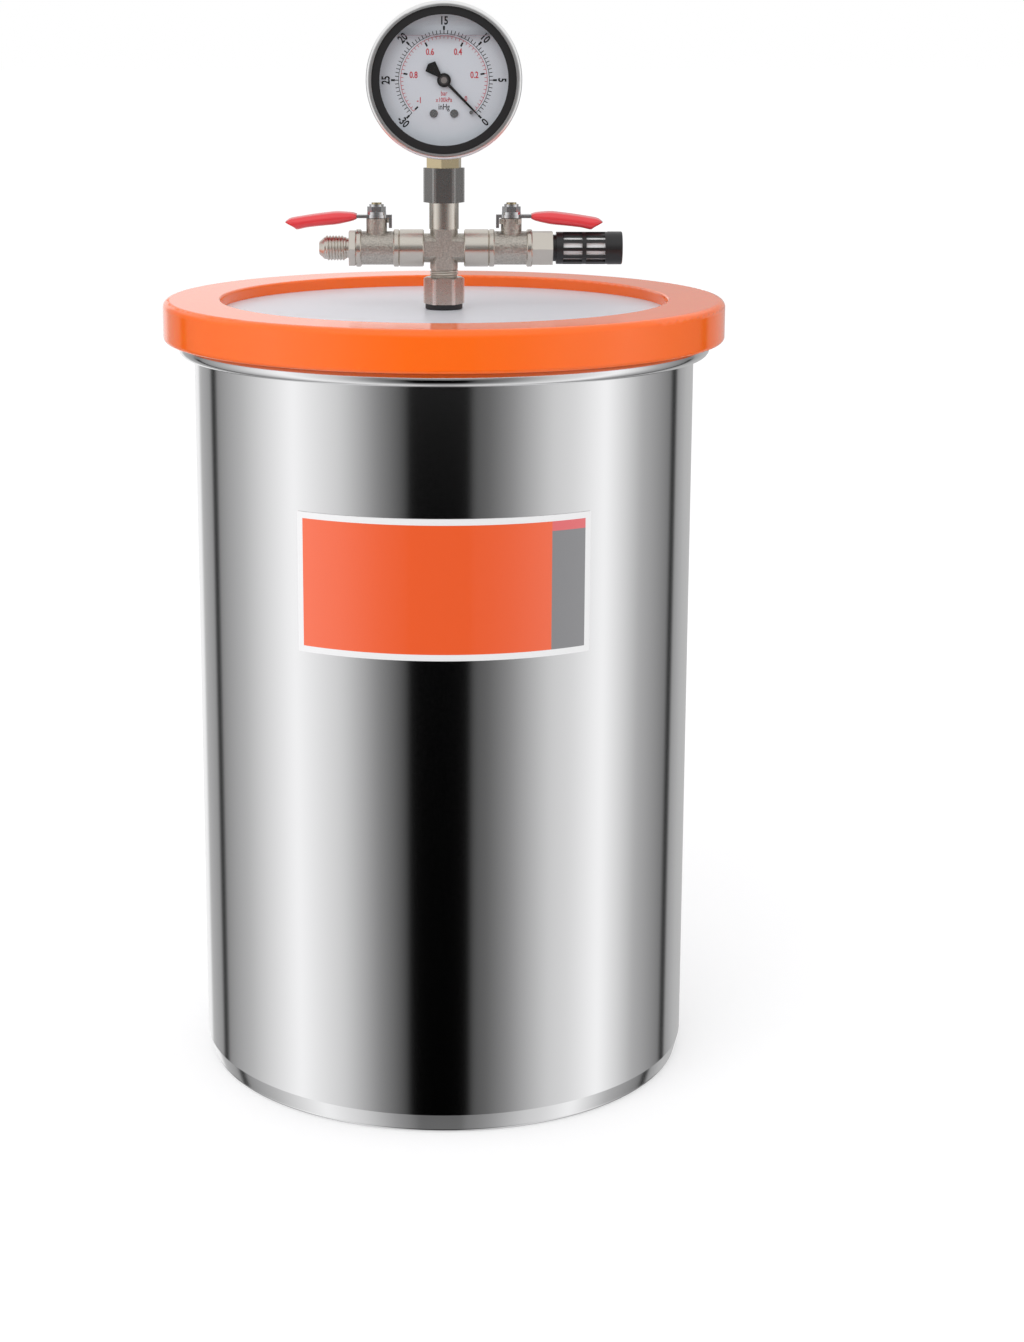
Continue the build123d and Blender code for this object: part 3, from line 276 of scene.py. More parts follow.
@dataclass(frozen=True)
class PotSteel(Finish):
    """Steel that is mirror-polished outside and satin inside.

    Attributes:
        inside: Distance from the axis up to which the steel is satin.
        bottom: Height above which it is satin.
        satin_rough: What the satin adds to the roughness.
        satin_grey: How far the satin scatters light like a grey paint.
    """

    inside: float = 124.4 * MM
    bottom: float = 1.0 * MM
    satin_rough: float = 0.34
    satin_grey: float = 0.55

    def satin(self, graph: Graph) -> Socket:
        """Returns 1 inside the pot, else 0."""
        x, y, z = graph.xyz()
        within = graph.math("LESS_THAN", graph.radius(x, y), self.inside)
        return graph.math("MULTIPLY", within, graph.math("GREATER_THAN", z, self.bottom))

    def metal(self, graph: Graph) -> Value:
        """Greys the inside."""
        return graph.math("MULTIPLY_ADD", self.satin(graph), -self.satin_grey, self.metallic)

    def rough(self, graph: Graph, noise: Socket) -> Value:
        """Roughens the inside."""
        return graph.math("MULTIPLY_ADD", self.satin(graph), self.satin_rough, super().rough(graph, noise))


@dataclass(frozen=True)
class CastFinish(Finish):
    """Cast metal that is turned smooth at its ends.

    Attributes:
        inner: Distance from the middle along X where the cast skin begins.
        outer: Distance from the middle along X where it ends.
        rise: Height above the pipe's axis up to which the skin is cast.
        turned_rough: Roughness of the turned ends.
        contrast: How sharply the cast skin's light and dark spots part.
    """

    inner: float = 0.0
    outer: float = 1.0
    rise: float = 1.0
    turned_rough: float = 0.27
    contrast: float = 2.4

    def cast(self, graph: Graph) -> Socket:
        """Marks the cast stretch.

        Args:
            graph: The material's node tree.

        Returns:
            1 on the cast skin, else 0.
        """
        low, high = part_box("silencer_adapter")
        x, _, z = graph.xyz()
        along = graph.band(graph.math("ABSOLUTE", x), self.inner, self.outer)
        below = graph.math("LESS_THAN", z, (low[2] + high[2]) / 2 + self.rise)
        return graph.math("MULTIPLY", along, below)

    def rough(self, graph: Graph, noise: Socket) -> Value:
        """Roughens the cast skin."""
        extra = graph.spread(noise, self.rough_low - self.turned_rough, self.rough_high - self.turned_rough)
        return graph.math("MULTIPLY_ADD", extra, self.cast(graph), self.turned_rough)

    def paint(self, graph: Graph, noise: Socket) -> Value:
        """Darkens the pits of the cast skin."""
        pits = graph.math("MULTIPLY_ADD", noise, -self.contrast, (1 + self.contrast) / 2, clamp=True)
        return graph.mix(graph.math("MULTIPLY", pits, self.cast(graph)), self.colour, self.spots())

    def relief(self, graph: Graph, noise: Socket) -> Socket | None:
        """Raises the grain on the cast skin."""
        return graph.bump(noise, self.grain_depth, self.cast(graph))


@dataclass(frozen=True)
class HexFinish(Finish):
    """Plated metal of an upright hexagon, with painted highlights along its edges.

    Attributes:
        edge_highlight_colour: Colour of the highlights painted on the edges.
        edge_highlight_start: Distance from the axis where the painted highlight begins.
        edge_highlight_full: Distance from the axis where it is complete.
    """

    edge_highlight_colour: Colour = (0.86, 0.83, 0.78)
    edge_highlight_start: float = 9.5 * MM
    edge_highlight_full: float = 9.9 * MM

    def paint(self, graph: Graph, noise: Socket) -> Value:
        """Paints highlights on what lies far from the axis, along the hexagon's edges."""
        x, y, _ = graph.xyz()
        # Painted highlight: the colour brightens towards the hexagon's corners.
        painted_highlight = graph.step(graph.radius(x, y), self.edge_highlight_start, self.edge_highlight_full)
        return graph.mix(painted_highlight, self.colour, self.edge_highlight_colour)


@dataclass(frozen=True)
class PointerFinish(Finish):
    """The pointer's black paint, with its bare boss in the middle.

    Attributes:
        boss: Radius of the bare boss.
        collar: Radius of the dull collar round it.
        boss_colour: The boss.
        collar_colour: The collar.
    """

    boss: float = 1.5 * MM
    collar: float = 2.3 * MM
    boss_colour: Colour = tone(128, 124, 122)
    collar_colour: Colour = tone(62, 61, 62)

    def paint(self, graph: Graph, noise: Socket) -> Value:
        """Paints the boss and the collar by their distance from the pointer's axis."""
        low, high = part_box("dial")
        x, _, z = graph.xyz()
        distance = graph.radius(x, graph.math("SUBTRACT", z, (low[2] + high[2]) / 2))
        ringed = graph.mix(graph.math("LESS_THAN", distance, self.collar), self.colour, self.collar_colour)
        return graph.mix(graph.math("LESS_THAN", distance, self.boss), ringed, self.boss_colour)


@dataclass(frozen=True)
class LabelPrint(Finish):
    """The pot's label: a white border, a large field and a strip with a header bar.

    Attributes:
        border: Width of the border.
        strip: Width of the strip at the right.
        header: Height of the bar on top of the strip.
        border_colour: The border.
        strip_colour: The strip.
        header_colour: The bar.
    """

    border: float = 3.0 * MM
    strip: float = 17.9 * MM
    header: float = 4.6 * MM
    border_colour: Colour = (0.86, 0.86, 0.86)
    strip_colour: Colour = tone(124, 124, 126)
    header_colour: Colour = tone(226, 92, 96)

    def paint(self, graph: Graph, noise: Socket) -> Value:
        """Lays the fields out by height and by distance round the pot."""
        low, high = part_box("pot_label")
        radius = -low[1]
        x, y, z = graph.xyz()
        around = graph.math("ARCTAN2", x, graph.math("MULTIPLY", y, -1.0))
        along = graph.math("MULTIPLY", around, radius)
        left = -radius * math.asin(min(1.0, -low[0] / radius)) + self.border
        right = radius * math.asin(min(1.0, high[0] / radius)) - self.border
        split = right - self.strip
        top = high[2] - self.border
        tall = graph.band(z, low[2] + self.border, top)
        in_field = graph.math("MULTIPLY", tall, graph.band(along, left, split))
        in_strip = graph.math("MULTIPLY", tall, graph.band(along, split, right))
        in_header = graph.math("MULTIPLY", in_strip, graph.math("GREATER_THAN", z, top - self.header))
        laid = graph.mix(in_field, self.border_colour, self.colour)
        laid = graph.mix(in_strip, laid, self.strip_colour)
        return graph.mix(in_header, laid, self.header_colour)


# --- finishes
MIRROR_STEEL = PotSteel(
    "mirror_steel", (0.84, 0.84, 0.85), metallic=1.0, rough_low=0.018, rough_high=0.018, grain=60,
)
POLISHED_STEEL = Finish(
    "polished_steel", (0.86, 0.86, 0.87), metallic=1.0, rough_low=0.08, rough_high=0.14, grain=300,
)
BEZEL_STEEL = Finish(
    "satin_bezel_steel", (0.9, 0.9, 0.9), metallic=1.0, rough_low=0.3, rough_high=0.36, grain=300,
)
NICKEL_TURNED = Finish(
    "turned_nickel_plate", (0.66, 0.62, 0.56), metallic=1.0, rough_low=0.27, rough_high=0.36, grain=900,
)
CROSS_CASTING = CastFinish(
    "cross_nickel_casting", (0.66, 0.62, 0.56), metallic=1.0, rough_low=0.3, rough_high=0.46, grain=1150,
    grain_depth=0.0004, mottle=0.34, inner=-1.0 * MM, outer=10.0 * MM, rise=9.6 * MM,
)
VALVE_CASTING = CastFinish(
    "valve_nickel_casting", (0.64, 0.60, 0.54), metallic=1.0, rough_low=0.28, rough_high=0.44, grain=1150,
    grain_depth=0.00035, mottle=0.34, inner=25.1 * MM, outer=41.1 * MM,
)
# The lid fitting: the nickel plate painted darker than the turned nickel as painted shade, with painted highlights on
# its edges.
HEX_NICKEL = HexFinish(
    "hexagon_nickel_plate", (0.54, 0.50, 0.45), metallic=1.0, rough_low=0.24, rough_high=0.32, grain=900,
)
# The gauge coupling, with painted highlights on its hexagon's edges.
DARK_STEEL = HexFinish(
    "dark_plated_steel", (0.4, 0.39, 0.38), metallic=1.0, rough_low=0.24, rough_high=0.32, grain=900,
    edge_highlight_colour=(0.8, 0.79, 0.77),
)
ZINC = Finish(
    "bright_zinc_plate", (0.72, 0.72, 0.73), metallic=1.0, rough_low=0.14, rough_high=0.3, grain=700,
    mottle=0.15,
)
BRASS = Finish(
    "turned_brass", (0.56, 0.47, 0.30), metallic=1.0, rough_low=0.2, rough_high=0.3, grain=900, mottle=0.1,
)
SILICONE = Finish(
    "orange_silicone_skin", tone(255, 108, 24), rough_low=0.34, rough_high=0.42, grain=90, mottle=0.03,
    sockets=(("Subsurface Weight", 0.12), ("Subsurface Scale", 0.003), ("Specular IOR Level", 0.0),
             ("Coat Weight", 1.0), ("Coat Roughness", 0.12)),
)
VINYL = Finish(
    "red_dipped_vinyl", tone(226, 54, 62), rough_low=0.26, rough_high=0.36, grain=260, grain_depth=0.00008,
    mottle=0.05,
    sockets=(("Subsurface Weight", 0.08), ("Subsurface Scale", 0.002), ("Coat Weight", 0.7), ("Coat Roughness", 0.2)),
)
ACRYLIC = Finish(
    "filmed_acrylic_sheet", tone(232, 233, 239), rough_low=0.3, rough_high=0.36, grain=40,
    sockets=(("Transmission Weight", 0.2), ("IOR", 1.3)),
)
WINDOW = Finish(
    "clear_gauge_window", (0.03, 0.03, 0.03), rough_low=0.0, rough_high=0.015, grain=20,
    sockets=(("Alpha", 0.05), ("IOR", 1.45)),
)
FLUID = Finish(
    "damping_fluid_edge", tone(172, 158, 166), rough_low=0.1, rough_high=0.15, grain=200,
    sockets=(("Alpha", 0.75), ("IOR", 1.45)),
)
FELT = Finish(
    "white_felt_element", (0.98, 0.98, 0.98), rough_low=0.85, rough_high=0.95, grain=2500, grain_depth=0.0002,
    sockets=(("Sheen Weight", 0.3),),
)
BLACK_RUBBER = Finish("black_rubber_seal", (0.012, 0.012, 0.013), rough_low=0.45, rough_high=0.6, grain=500)
BLACK_PLASTIC = Finish(
    "black_moulded_plastic", (0.014, 0.014, 0.015), rough_low=0.3, rough_high=0.42, grain=800,
)
PTFE = Finish("white_ptfe_seat", (0.8, 0.8, 0.78), rough_low=0.35, rough_high=0.45)
POINTER_PAINT = PointerFinish("pointer_paint", (0.008, 0.008, 0.009), rough_low=0.5, rough_high=0.6)
INK_BLACK = Finish("dial_ink_black", (0.01, 0.01, 0.011), rough_low=0.6, rough_high=0.65)
INK_RED = Finish("dial_ink_red", tone(196, 70, 80), rough_low=0.6, rough_high=0.65)
DIAL_PAINT = Finish(
    "silver_dial_paint", tone(212, 217, 224), rough_low=0.42, rough_high=0.5, grain=2500, mottle=0.04,
)
LABEL = LabelPrint(
    "printed_label", tone(243, 90, 26), rough_low=0.3, rough_high=0.36, grain=200,
    sockets=(("Coat Weight", 1.0), ("Coat Roughness", 0.05), ("Coat IOR", 1.7)),
)

# The finish of each CAD node, by its name without a side in front.
DRESS: dict[str, Finish] = {
    "pot": MIRROR_STEEL,
    "pot_label": LABEL,
    "lid_gasket": SILICONE,
    "lid_disc": ACRYLIC,
    "lid_fitting": HEX_NICKEL,
    "top_washer": BLACK_RUBBER,
    "under_washer": BLACK_RUBBER,
    "under_nut": NICKEL_TURNED,
    "cross_fitting": CROSS_CASTING,
    "gauge_coupling": DARK_STEEL,
    "gauge_socket": BRASS,
    "bourdon_tube": BRASS,
    "gauge_movement": BRASS,
    "gauge_case": POLISHED_STEEL,
    "gauge_bezel": BEZEL_STEEL,
    "window_gasket": BLACK_RUBBER,
    "gauge_window": WINDOW,
    "fill_plug": BLACK_RUBBER,
    "dial": DIAL_PAINT,
    "dial_screws": ZINC,
    "stop_pin": ZINC,
    "pointer": POINTER_PAINT,
    "flare_nipple": NICKEL_TURNED,
    "silencer_adapter": NICKEL_TURNED,
    "silencer_body": BLACK_PLASTIC,
    "silencer_cap": BLACK_PLASTIC,
    "silencer_felt": FELT,
    "valve_body": VALVE_CASTING,
    "valve_retainer": NICKEL_TURNED,
    "valve_ball": ZINC,
    "valve_seats": PTFE,
    "valve_packing": PTFE,
    "valve_stem": BRASS,
    "valve_lever": ZINC,
    "lever_grip": VINYL,
    "stem_nut": ZINC,
}


def dress_nodes(nodes: dict[str, bpy.types.Object]) -> None:
    """Gives every CAD node its finish.

    Args:
        nodes: The CAD nodes by name.
    """
    for name, node in nodes.items():
        plain = name
        for side in SIDES:
            plain = plain.removeprefix(f"{side}_")
        finish = DRESS.get(plain)
        if finish is None:
            LOG.warning("no finish for %s", name)
            continue
        node.data.materials.clear()
        node.data.materials.append(finish.material())


# --- mesh helpers
def sheet(shape: Shape, place: Matrix, half: float = 0.5) -> None:
    """Adds a single flat face, half its width given before its place stretches it."""
    bmesh.ops.create_grid(shape, x_segments=1, y_segments=1, size=half, matrix=place)


def turned(shape: Shape, points: Sequence[Vector], weld: float, **spin: object) -> None:
    """Turns an open outline about an axis.

    Args:
        shape: The mesh it goes into.
        points: The outline.
        weld: Distance within which its points are merged.
        **spin: The spin's axis, angle and steps.
    """
    verts = [shape.verts.new(point) for point in points]
    edges = [shape.edges.new(pair) for pair in zip(verts, verts[1:])]
    bmesh.ops.spin(shape, geom=[*verts, *edges], **spin)
    bmesh.ops.remove_doubles(shape, verts=shape.verts, dist=weld)


def mesh_piece(name: str, shape: Shape, finish: Finish, body: str, smooth: bool = False) -> bpy.types.Object:
    """Makes an object that rides on a body.

    Args:
        name: The piece's name.
        shape: The mesh, in place in the frame.
        finish: Its finish.
        body: The CAD body that it moves with.
        smooth: Whether its faces are shaded smooth.

    Returns:
        The new object.
    """
    bmesh.ops.recalc_face_normals(shape, faces=shape.faces)
    mesh = bpy.data.meshes.new(name)
    shape.to_mesh(mesh)
    shape.free()
    for face in mesh.polygons:
        face.use_smooth = smooth
    mesh.materials.append(finish.material())
    made = bpy.data.objects.new(name, mesh)
    bpy.context.scene.collection.objects.link(made)
    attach(made, body)
    LOG.info("%s: %d faces on %s", name, len(mesh.polygons), body)
    return made


# --- gauge
class Stance(Enum):
    """Which way the top of a numeral points."""

    UP = "up"
    OUTWARD = "outward"
    INWARD = "inward"

    def spin(self, angle: float) -> float:
        """Returns the turn in radians of a numeral at this angle in degrees."""
        turns = {Stance.UP: 0.0, Stance.OUTWARD: angle - 90, Stance.INWARD: angle + 90}
        return math.radians(turns[self])


@dataclass(frozen=True)
class Ticks:
    """One row of ticks on a scale.

    Attributes:
        inner: Radius of their inner ends.
        outer: Radius of their outer ends.
        width: Their width.
    """

    inner: float
    outer: float
    width: float


@dataclass(frozen=True)
class Letters:
    """How numerals or words are drawn.

    Attributes:
        height: Their height.
        bold: How far their strokes are widened, as a share of the height.
        font_size: Size of the font, as a share of the height.
        narrow: Their width, as a share of the font's own.
    """

    height: float
    bold: float
    font_size: float = 1.4
    narrow: float = 0.76


@dataclass(frozen=True)
class Word:
    """A word or numeral that stands upright by itself on the dial.

    Attributes:
        text: What it says.
        radius: Distance of its middle from the dial's centre.
        angle: Angle of its middle.
        letters: How it is drawn.
        red: Whether it is red, else black.
    """

    text: str
    radius: float
    angle: float
    letters: Letters
    red: bool = True


SINGLE_WORDS = (
    Word("-1", 15.5 * MM, 219.0, Letters(2.9 * MM, 0.03)),
    Word("0", 14.0 * MM, -40.0, Letters(2.5 * MM, 0.03)),
    Word("bar", 6.4 * MM, -90.0, Letters(2.3 * MM, 0.015)),
    Word("x100kPa", 9.5 * MM, -90.0, Letters(2.2 * MM, 0.015)),
    Word("inHg", 12.9 * MM, -90.0, Letters(2.8 * MM, 0.015), red=False),
)


@dataclass
class DialPrint:
    """The print on the gauge's dial: two scales, their numerals and the unit words.

    Attributes:
        arcs: Radii of the inner and the outer scale's arc.
        arc_width: Width of an arc.
        arc_steps: Pieces that an arc is made of.
        outer_full: Full reading of the outer scale.
        outer_each: Units from one outer numeral to the next.
        outer_fine: Small ticks of the outer scale, two to a unit.
        outer_bold: Large ticks of the outer scale.
        outer_words: Radius of the outer numerals.
        outer_letters: How they are drawn.
        inner_marks: Small divisions of the inner scale.
        inner_parts: Large divisions of the inner scale.
        inner_fine: Small ticks of the inner scale.
        inner_bold: Large ticks of the inner scale.
        inner_words: Radius of the inner numerals.
        inner_letters: How they are drawn.
        curve_steps: Pieces in each curve of a letter.
        lift: Height of the print above the dial.
        start: Angle of zero, at the lower right.
        sweep: Degrees from zero to the full reading, anticlockwise.
    """

    arcs: tuple[float, float] = (21.1 * MM, 22.1 * MM)
    arc_width: float = 0.24 * MM
    arc_steps: int = 120
    outer_full: int = 30
    outer_each: int = 5
    outer_fine: Ticks = Ticks(22.1 * MM, 23.9 * MM, 0.36 * MM)
    outer_bold: Ticks = Ticks(23.9 * MM, 25.8 * MM, 0.95 * MM)
    outer_words: float = 28.2 * MM
    outer_letters: Letters = Letters(3.9 * MM, 0.04)
    inner_marks: int = 50
    inner_parts: int = 5
    inner_fine: Ticks = Ticks(19.8 * MM, 21.1 * MM, 0.26 * MM)
    inner_bold: Ticks = Ticks(18.0 * MM, 20.0 * MM, 0.85 * MM)
    inner_words: float = 15.0 * MM
    inner_letters: Letters = Letters(3.1 * MM, 0.035)
    curve_steps: int = 3
    lift: float = 0.06 * MM
    start: float = -45.0
    sweep: float = 270.0

    def __post_init__(self) -> None:
        """Reads the dial's place from the frame."""
        low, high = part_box("dial")
        self.centre = Vector(((low[0] + high[0]) / 2, low[1] - self.lift, (low[2] + high[2]) / 2))

    def angle(self, share: float) -> float:
        """Returns the angle of a reading, given as a share of the full scale."""
        return self.start + self.sweep * share

    def place(self, radius: float, angle: float) -> Vector:
        """Returns the point on the dial at this radius and angle in degrees."""
        turn = math.radians(angle)
        return self.centre + Vector((radius * math.cos(turn), 0, radius * math.sin(turn)))

    def tick(self, shape: Shape, row: Ticks, angle: float) -> None:
        """Adds one tick.

        Args:
            shape: The mesh it goes into.
            row: The row of ticks that it belongs to.
            angle: Its angle on the dial.
        """
        middle = Matrix.Translation(self.place((row.inner + row.outer) / 2, angle))
        turn = Matrix.Rotation(math.radians(-angle), 4, "Y")
        size = Matrix.Diagonal((row.outer - row.inner, row.width, 1, 1))
        sheet(shape, middle @ turn @ STAND @ size)

    def scale_arc(self, shape: Shape, radius: float) -> None:
        """Adds a scale's arc, a short edge spun about the dial's centre.

        Args:
            shape: The mesh it goes into.
            radius: Its radius.
        """
        half = self.arc_width / 2
        ends = [shape.verts.new(self.place(edge, self.start)) for edge in (radius - half, radius + half)]
        geom = [*ends, shape.edges.new(ends)]
        sweep = math.radians(self.sweep)
        bmesh.ops.spin(
            shape, geom=geom, cent=self.centre, axis=(0, -1, 0), angle=sweep, steps=self.arc_steps
        )

    def write(self, shape: Shape, word: Word, stance: Stance = Stance.UP) -> None:
        """Adds a numeral or a word.

        Args:
            shape: The mesh it goes into.
            word: What it says, where and how.
            stance: Which way its top points.
        """
        letters = word.letters
        curve = bpy.data.curves.new("numeral", "FONT")
        curve.body = word.text
        curve.size = letters.height * letters.font_size
        curve.offset = letters.height * letters.bold
        curve.align_x = "CENTER"
        curve.align_y = "CENTER"
        curve.resolution_u = self.curve_steps
        holder = bpy.data.objects.new("numeral", curve)
        bpy.context.scene.collection.objects.link(holder)
        bpy.context.view_layer.update()
        mesh = bpy.data.meshes.new_from_object(holder.evaluated_get(bpy.context.evaluated_depsgraph_get()))
        place = Matrix.Translation(self.place(word.radius, word.angle))
        spin = Matrix.Rotation(stance.spin(word.angle), 4, "Z")
        mesh.transform(place @ STAND @ spin @ Matrix.Scale(letters.narrow, 4, Vector((1, 0, 0))))
        shape.from_mesh(mesh)
        bpy.data.objects.remove(holder)
        bpy.data.curves.remove(curve)
        bpy.data.meshes.remove(mesh)

    def outer_scale(self, shape: Shape) -> None:
        """Adds the outer scale's ticks and numerals.

        Args:
            shape: The mesh they go into.
        """
        marks = 2 * self.outer_full
        for mark in range(marks + 1):
            angle = self.angle(mark / marks)
            self.tick(shape, self.outer_fine, angle)
            if mark % (2 * self.outer_each):
                continue
            self.tick(shape, self.outer_bold, angle)
            last = mark == marks
            text = f"-{self.outer_full}" if last else str(mark // 2)
            stance = Stance.INWARD if last else Stance.OUTWARD
            self.write(shape, Word(text, self.outer_words, angle, self.outer_letters), stance)

    def inner_scale(self, black: Shape, red: Shape) -> None:
        """Adds the inner scale's ticks and numerals.

        Args:
            black: The mesh of the black print.
            red: The mesh of the red print.
        """
        for mark in range(self.inner_marks + 1):
            self.tick(red, self.inner_fine, self.angle(mark / self.inner_marks))
        for part in range(self.inner_parts + 1):
            share = part / self.inner_parts
            angle = self.angle(share)
            self.tick(black, self.inner_bold, angle)
            if 0 < part < self.inner_parts:
                self.write(red, Word(f"{share:.1f}", self.inner_words, angle, self.inner_letters))

    def build(self) -> None:
        """Builds the black and the red print."""
        black = bmesh.new()
        red = bmesh.new()
        self.outer_scale(black)
        for shape, radius in zip((red, black), self.arcs):
            self.scale_arc(shape, radius)
        self.inner_scale(black, red)
        for word in SINGLE_WORDS:
            self.write(red if word.red else black, word)
        for name, shape, finish in (("dial_print_black", black, INK_BLACK), ("dial_print_red", red, INK_RED)):
            piece = mesh_piece(name, shape, finish, "lid")


@dataclass
class FluidSurface:
    """The surface of the damping fluid, across the top of the dial.

    Attributes:
        rise: Height of its top above the dial's centre.
        width: Its width.
        reach: Its depth.
        gap: Distance of its middle from the dial.
        thick: Its thickness.
    """

    rise: float = 21.5 * MM
    width: float = 44.4 * MM
    reach: float = 3.6 * MM
    gap: float = 2.0 * MM
    thick: float = 0.3 * MM

    def build(self) -> None:
        """Lays the surface as a thin sheet."""
        low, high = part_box("dial")
        middle_z = (low[2] + high[2]) / 2 + self.rise - self.thick / 2
        middle = Matrix.Translation(((low[0] + high[0]) / 2, low[1] - self.gap, middle_z))
        shape = bmesh.new()
        size = Matrix.Diagonal((self.width, self.reach, self.thick, 1))
        bmesh.ops.create_cube(shape, size=1.0, matrix=middle @ size)
        piece = mesh_piece("fluid_surface", shape, FLUID, "lid")


# --- threads and nipple
@dataclass
class Thread:
    """A turned thread that stands on a plain shank of the frame.

    Attributes:
        name: Name of the piece.
        start: Centre of the shank where the thread begins.
        axis: Direction in which it runs.
        root: Radius at the bottom of the thread.
        depth: Height of its crest above the root.
        pitch: Distance from crest to crest.
        length: Length of the threaded stretch.
        slot: Material slot that its finish comes from.
        flank: Length of a flank, as a share of the pitch.
        steps: Steps in each turn.
        weld: Distance of points merged.
    """

    name: str
    start: Vector
    axis: Vector
    root: float
    depth: float
    pitch: float
    # slot: Name of a material slot; not used.
    length: float
    slot: str = "nickel_plate"
    flank: float = 0.38
    steps: int = 48
    weld: float = 0.005 * MM

    def build(self) -> None:
        """Spins one crest round the shank, moving on by a pitch each turn."""
        shape = bmesh.new()
        out = self.axis.orthogonal().normalized()
        crest = ((0.0, 0.0), (self.flank, self.depth), (1 - self.flank, self.depth), (1.0, 0.0))
        turns = self.length / self.pitch - 1
        turned(
            shape,
            [self.start + self.axis * (along * self.pitch) + out * (self.root + rise) for along, rise in crest],
            self.weld,
            cent=self.start,
            axis=self.axis,
            dvec=self.axis * (self.pitch / self.steps),
            angle=2 * math.pi * turns,
            steps=round(self.steps * turns),
        )
        piece = mesh_piece(self.name, shape, NICKEL_TURNED, "lid", smooth=True)


@dataclass
class FlareNipple:
    """The hose nipple: a cone for the hose's seat, a threaded shank and a hexagon.

    Attributes:
        tip: Radius of the cone's small end.
        cone: Length of the cone.
        cone_drop: How far the cone's large end lies below the shank.
        lead: Length of the bevel behind the cone.
        root: Radius at the bottom of the thread.
        root_sink: How far the thread is sunk into the shank.
        crest: Height of the thread.
        pitch: Pitch of the thread.
        thread_gaps: Plain stretches before and after the thread.
        groove: Width of the groove between the thread and the hexagon.
        groove_depth: Depth of the groove.
        groove_bevel: Length of its bevel.
        bore: Radius of the bore.
        bore_depth: Depth of the bore.
        hex_flats: Width across the hexagon's flats.
        hex_length: Length of the hexagon.
        hex_round: Rounding of its edges.
        steps: Steps round the shank.
        weld: Distance of points merged.
    """

    tip: float = 3.1 * MM
    cone: float = 2.1 * MM
    cone_drop: float = 0.5 * MM
    lead: float = 0.6 * MM
    root: float = 5.5 * MM
    root_sink: float = 0.02 * MM
    crest: float = 0.7 * MM
    pitch: float = 1.5 * MM
    thread_gaps: tuple[float, float] = (0.8 * MM, 0.6 * MM)
    groove: float = 1.2 * MM
    groove_depth: float = 0.6 * MM
    groove_bevel: float = 0.4 * MM
    bore: float = 2.4 * MM
    bore_depth: float = 8.0 * MM
    hex_flats: float = 17.0 * MM
    hex_length: float = 3.4 * MM
    hex_round: float = 0.35 * MM
    steps: int = 48
    weld: float = 0.002 * MM

    def __post_init__(self) -> None:
        """Reads the nipple's place from the frame."""
        low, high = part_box("flare_nipple")
        self.axis_z = (low[2] + high[2]) / 2
        self.tip_x = low[0]
        self.valve_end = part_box("left_valve_body")[0][0]
        self.groove_end = self.valve_end - self.hex_length

    def shank(self, shape: Shape) -> None:
        """Turns the shank with its cone, groove and bore.

        Args:
            shape: The mesh it goes into.
        """
        neck = self.root - self.groove_depth
        groove_start = self.groove_end - self.groove
        cone_end = self.tip_x + self.cone
        bore_end = self.tip_x + self.bore_depth
        outline = (
            (self.groove_end, 0.0),
            (self.groove_end, neck),
            (groove_start, neck),
            (groove_start - self.groove_bevel, self.root),
            (cone_end + self.lead, self.root),
            (cone_end, self.root - self.cone_drop),
            (self.tip_x, self.tip),
            (self.tip_x, self.bore),
            (bore_end, self.bore),
            (bore_end, 0.0),
        )
        turned(
            shape,
            [Vector((x, 0, self.axis_z + radius)) for x, radius in outline],
            self.weld,
            cent=(0, 0, self.axis_z),
            axis=(1, 0, 0),
            angle=2 * math.pi,
            steps=self.steps,
            use_merge=True,
        )

    def hexagon(self, shape: Shape) -> None:
        """Adds the hexagon with rounded edges.

        Args:
            shape: The mesh it goes into.
        """
        corner = self.hex_flats / math.sqrt(3)
        middle = Matrix.Translation((self.valve_end - self.hex_length / 2, 0, self.axis_z))
        made = bmesh.ops.create_cone(
            shape,
            cap_ends=True,
            segments=6,
            radius1=corner,
            radius2=corner,
            depth=self.hex_length,
            matrix=middle @ Matrix.Rotation(math.radians(90), 4, "Y"),
        )
        bmesh.ops.bevel(
            shape,
            geom=list(dict.fromkeys(edge for vert in made["verts"] for edge in vert.link_edges)),
            offset=self.hex_round,
            offset_type="OFFSET",
            segments=2,
            profile=0.5,
            affect="EDGES",
            material=-1,
        )

    def build(self) -> None:
        """Builds the nipple and its thread."""
        shape = bmesh.new()
        self.shank(shape)
        self.hexagon(shape)
        # A bevel's own order varies from run to run.
        shape.verts.sort(key=lambda vert: vert.co.dot(ORDER))
        shape.faces.sort(key=lambda face: face.calc_center_median().dot(ORDER))
        piece = mesh_piece("hose_nipple", shape, NICKEL_TURNED, "lid")
        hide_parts("flare_nipple")
        before, after = self.thread_gaps
        start = self.tip_x + self.cone + before
        Thread(
            name="hose_nipple_thread",
            start=Vector((start, 0, self.axis_z)),
            axis=Vector((1, 0, 0)),
            root=self.root - self.root_sink,
            depth=self.crest,
            pitch=self.pitch,
            length=self.groove_end - self.groove - start - after,
        ).build()


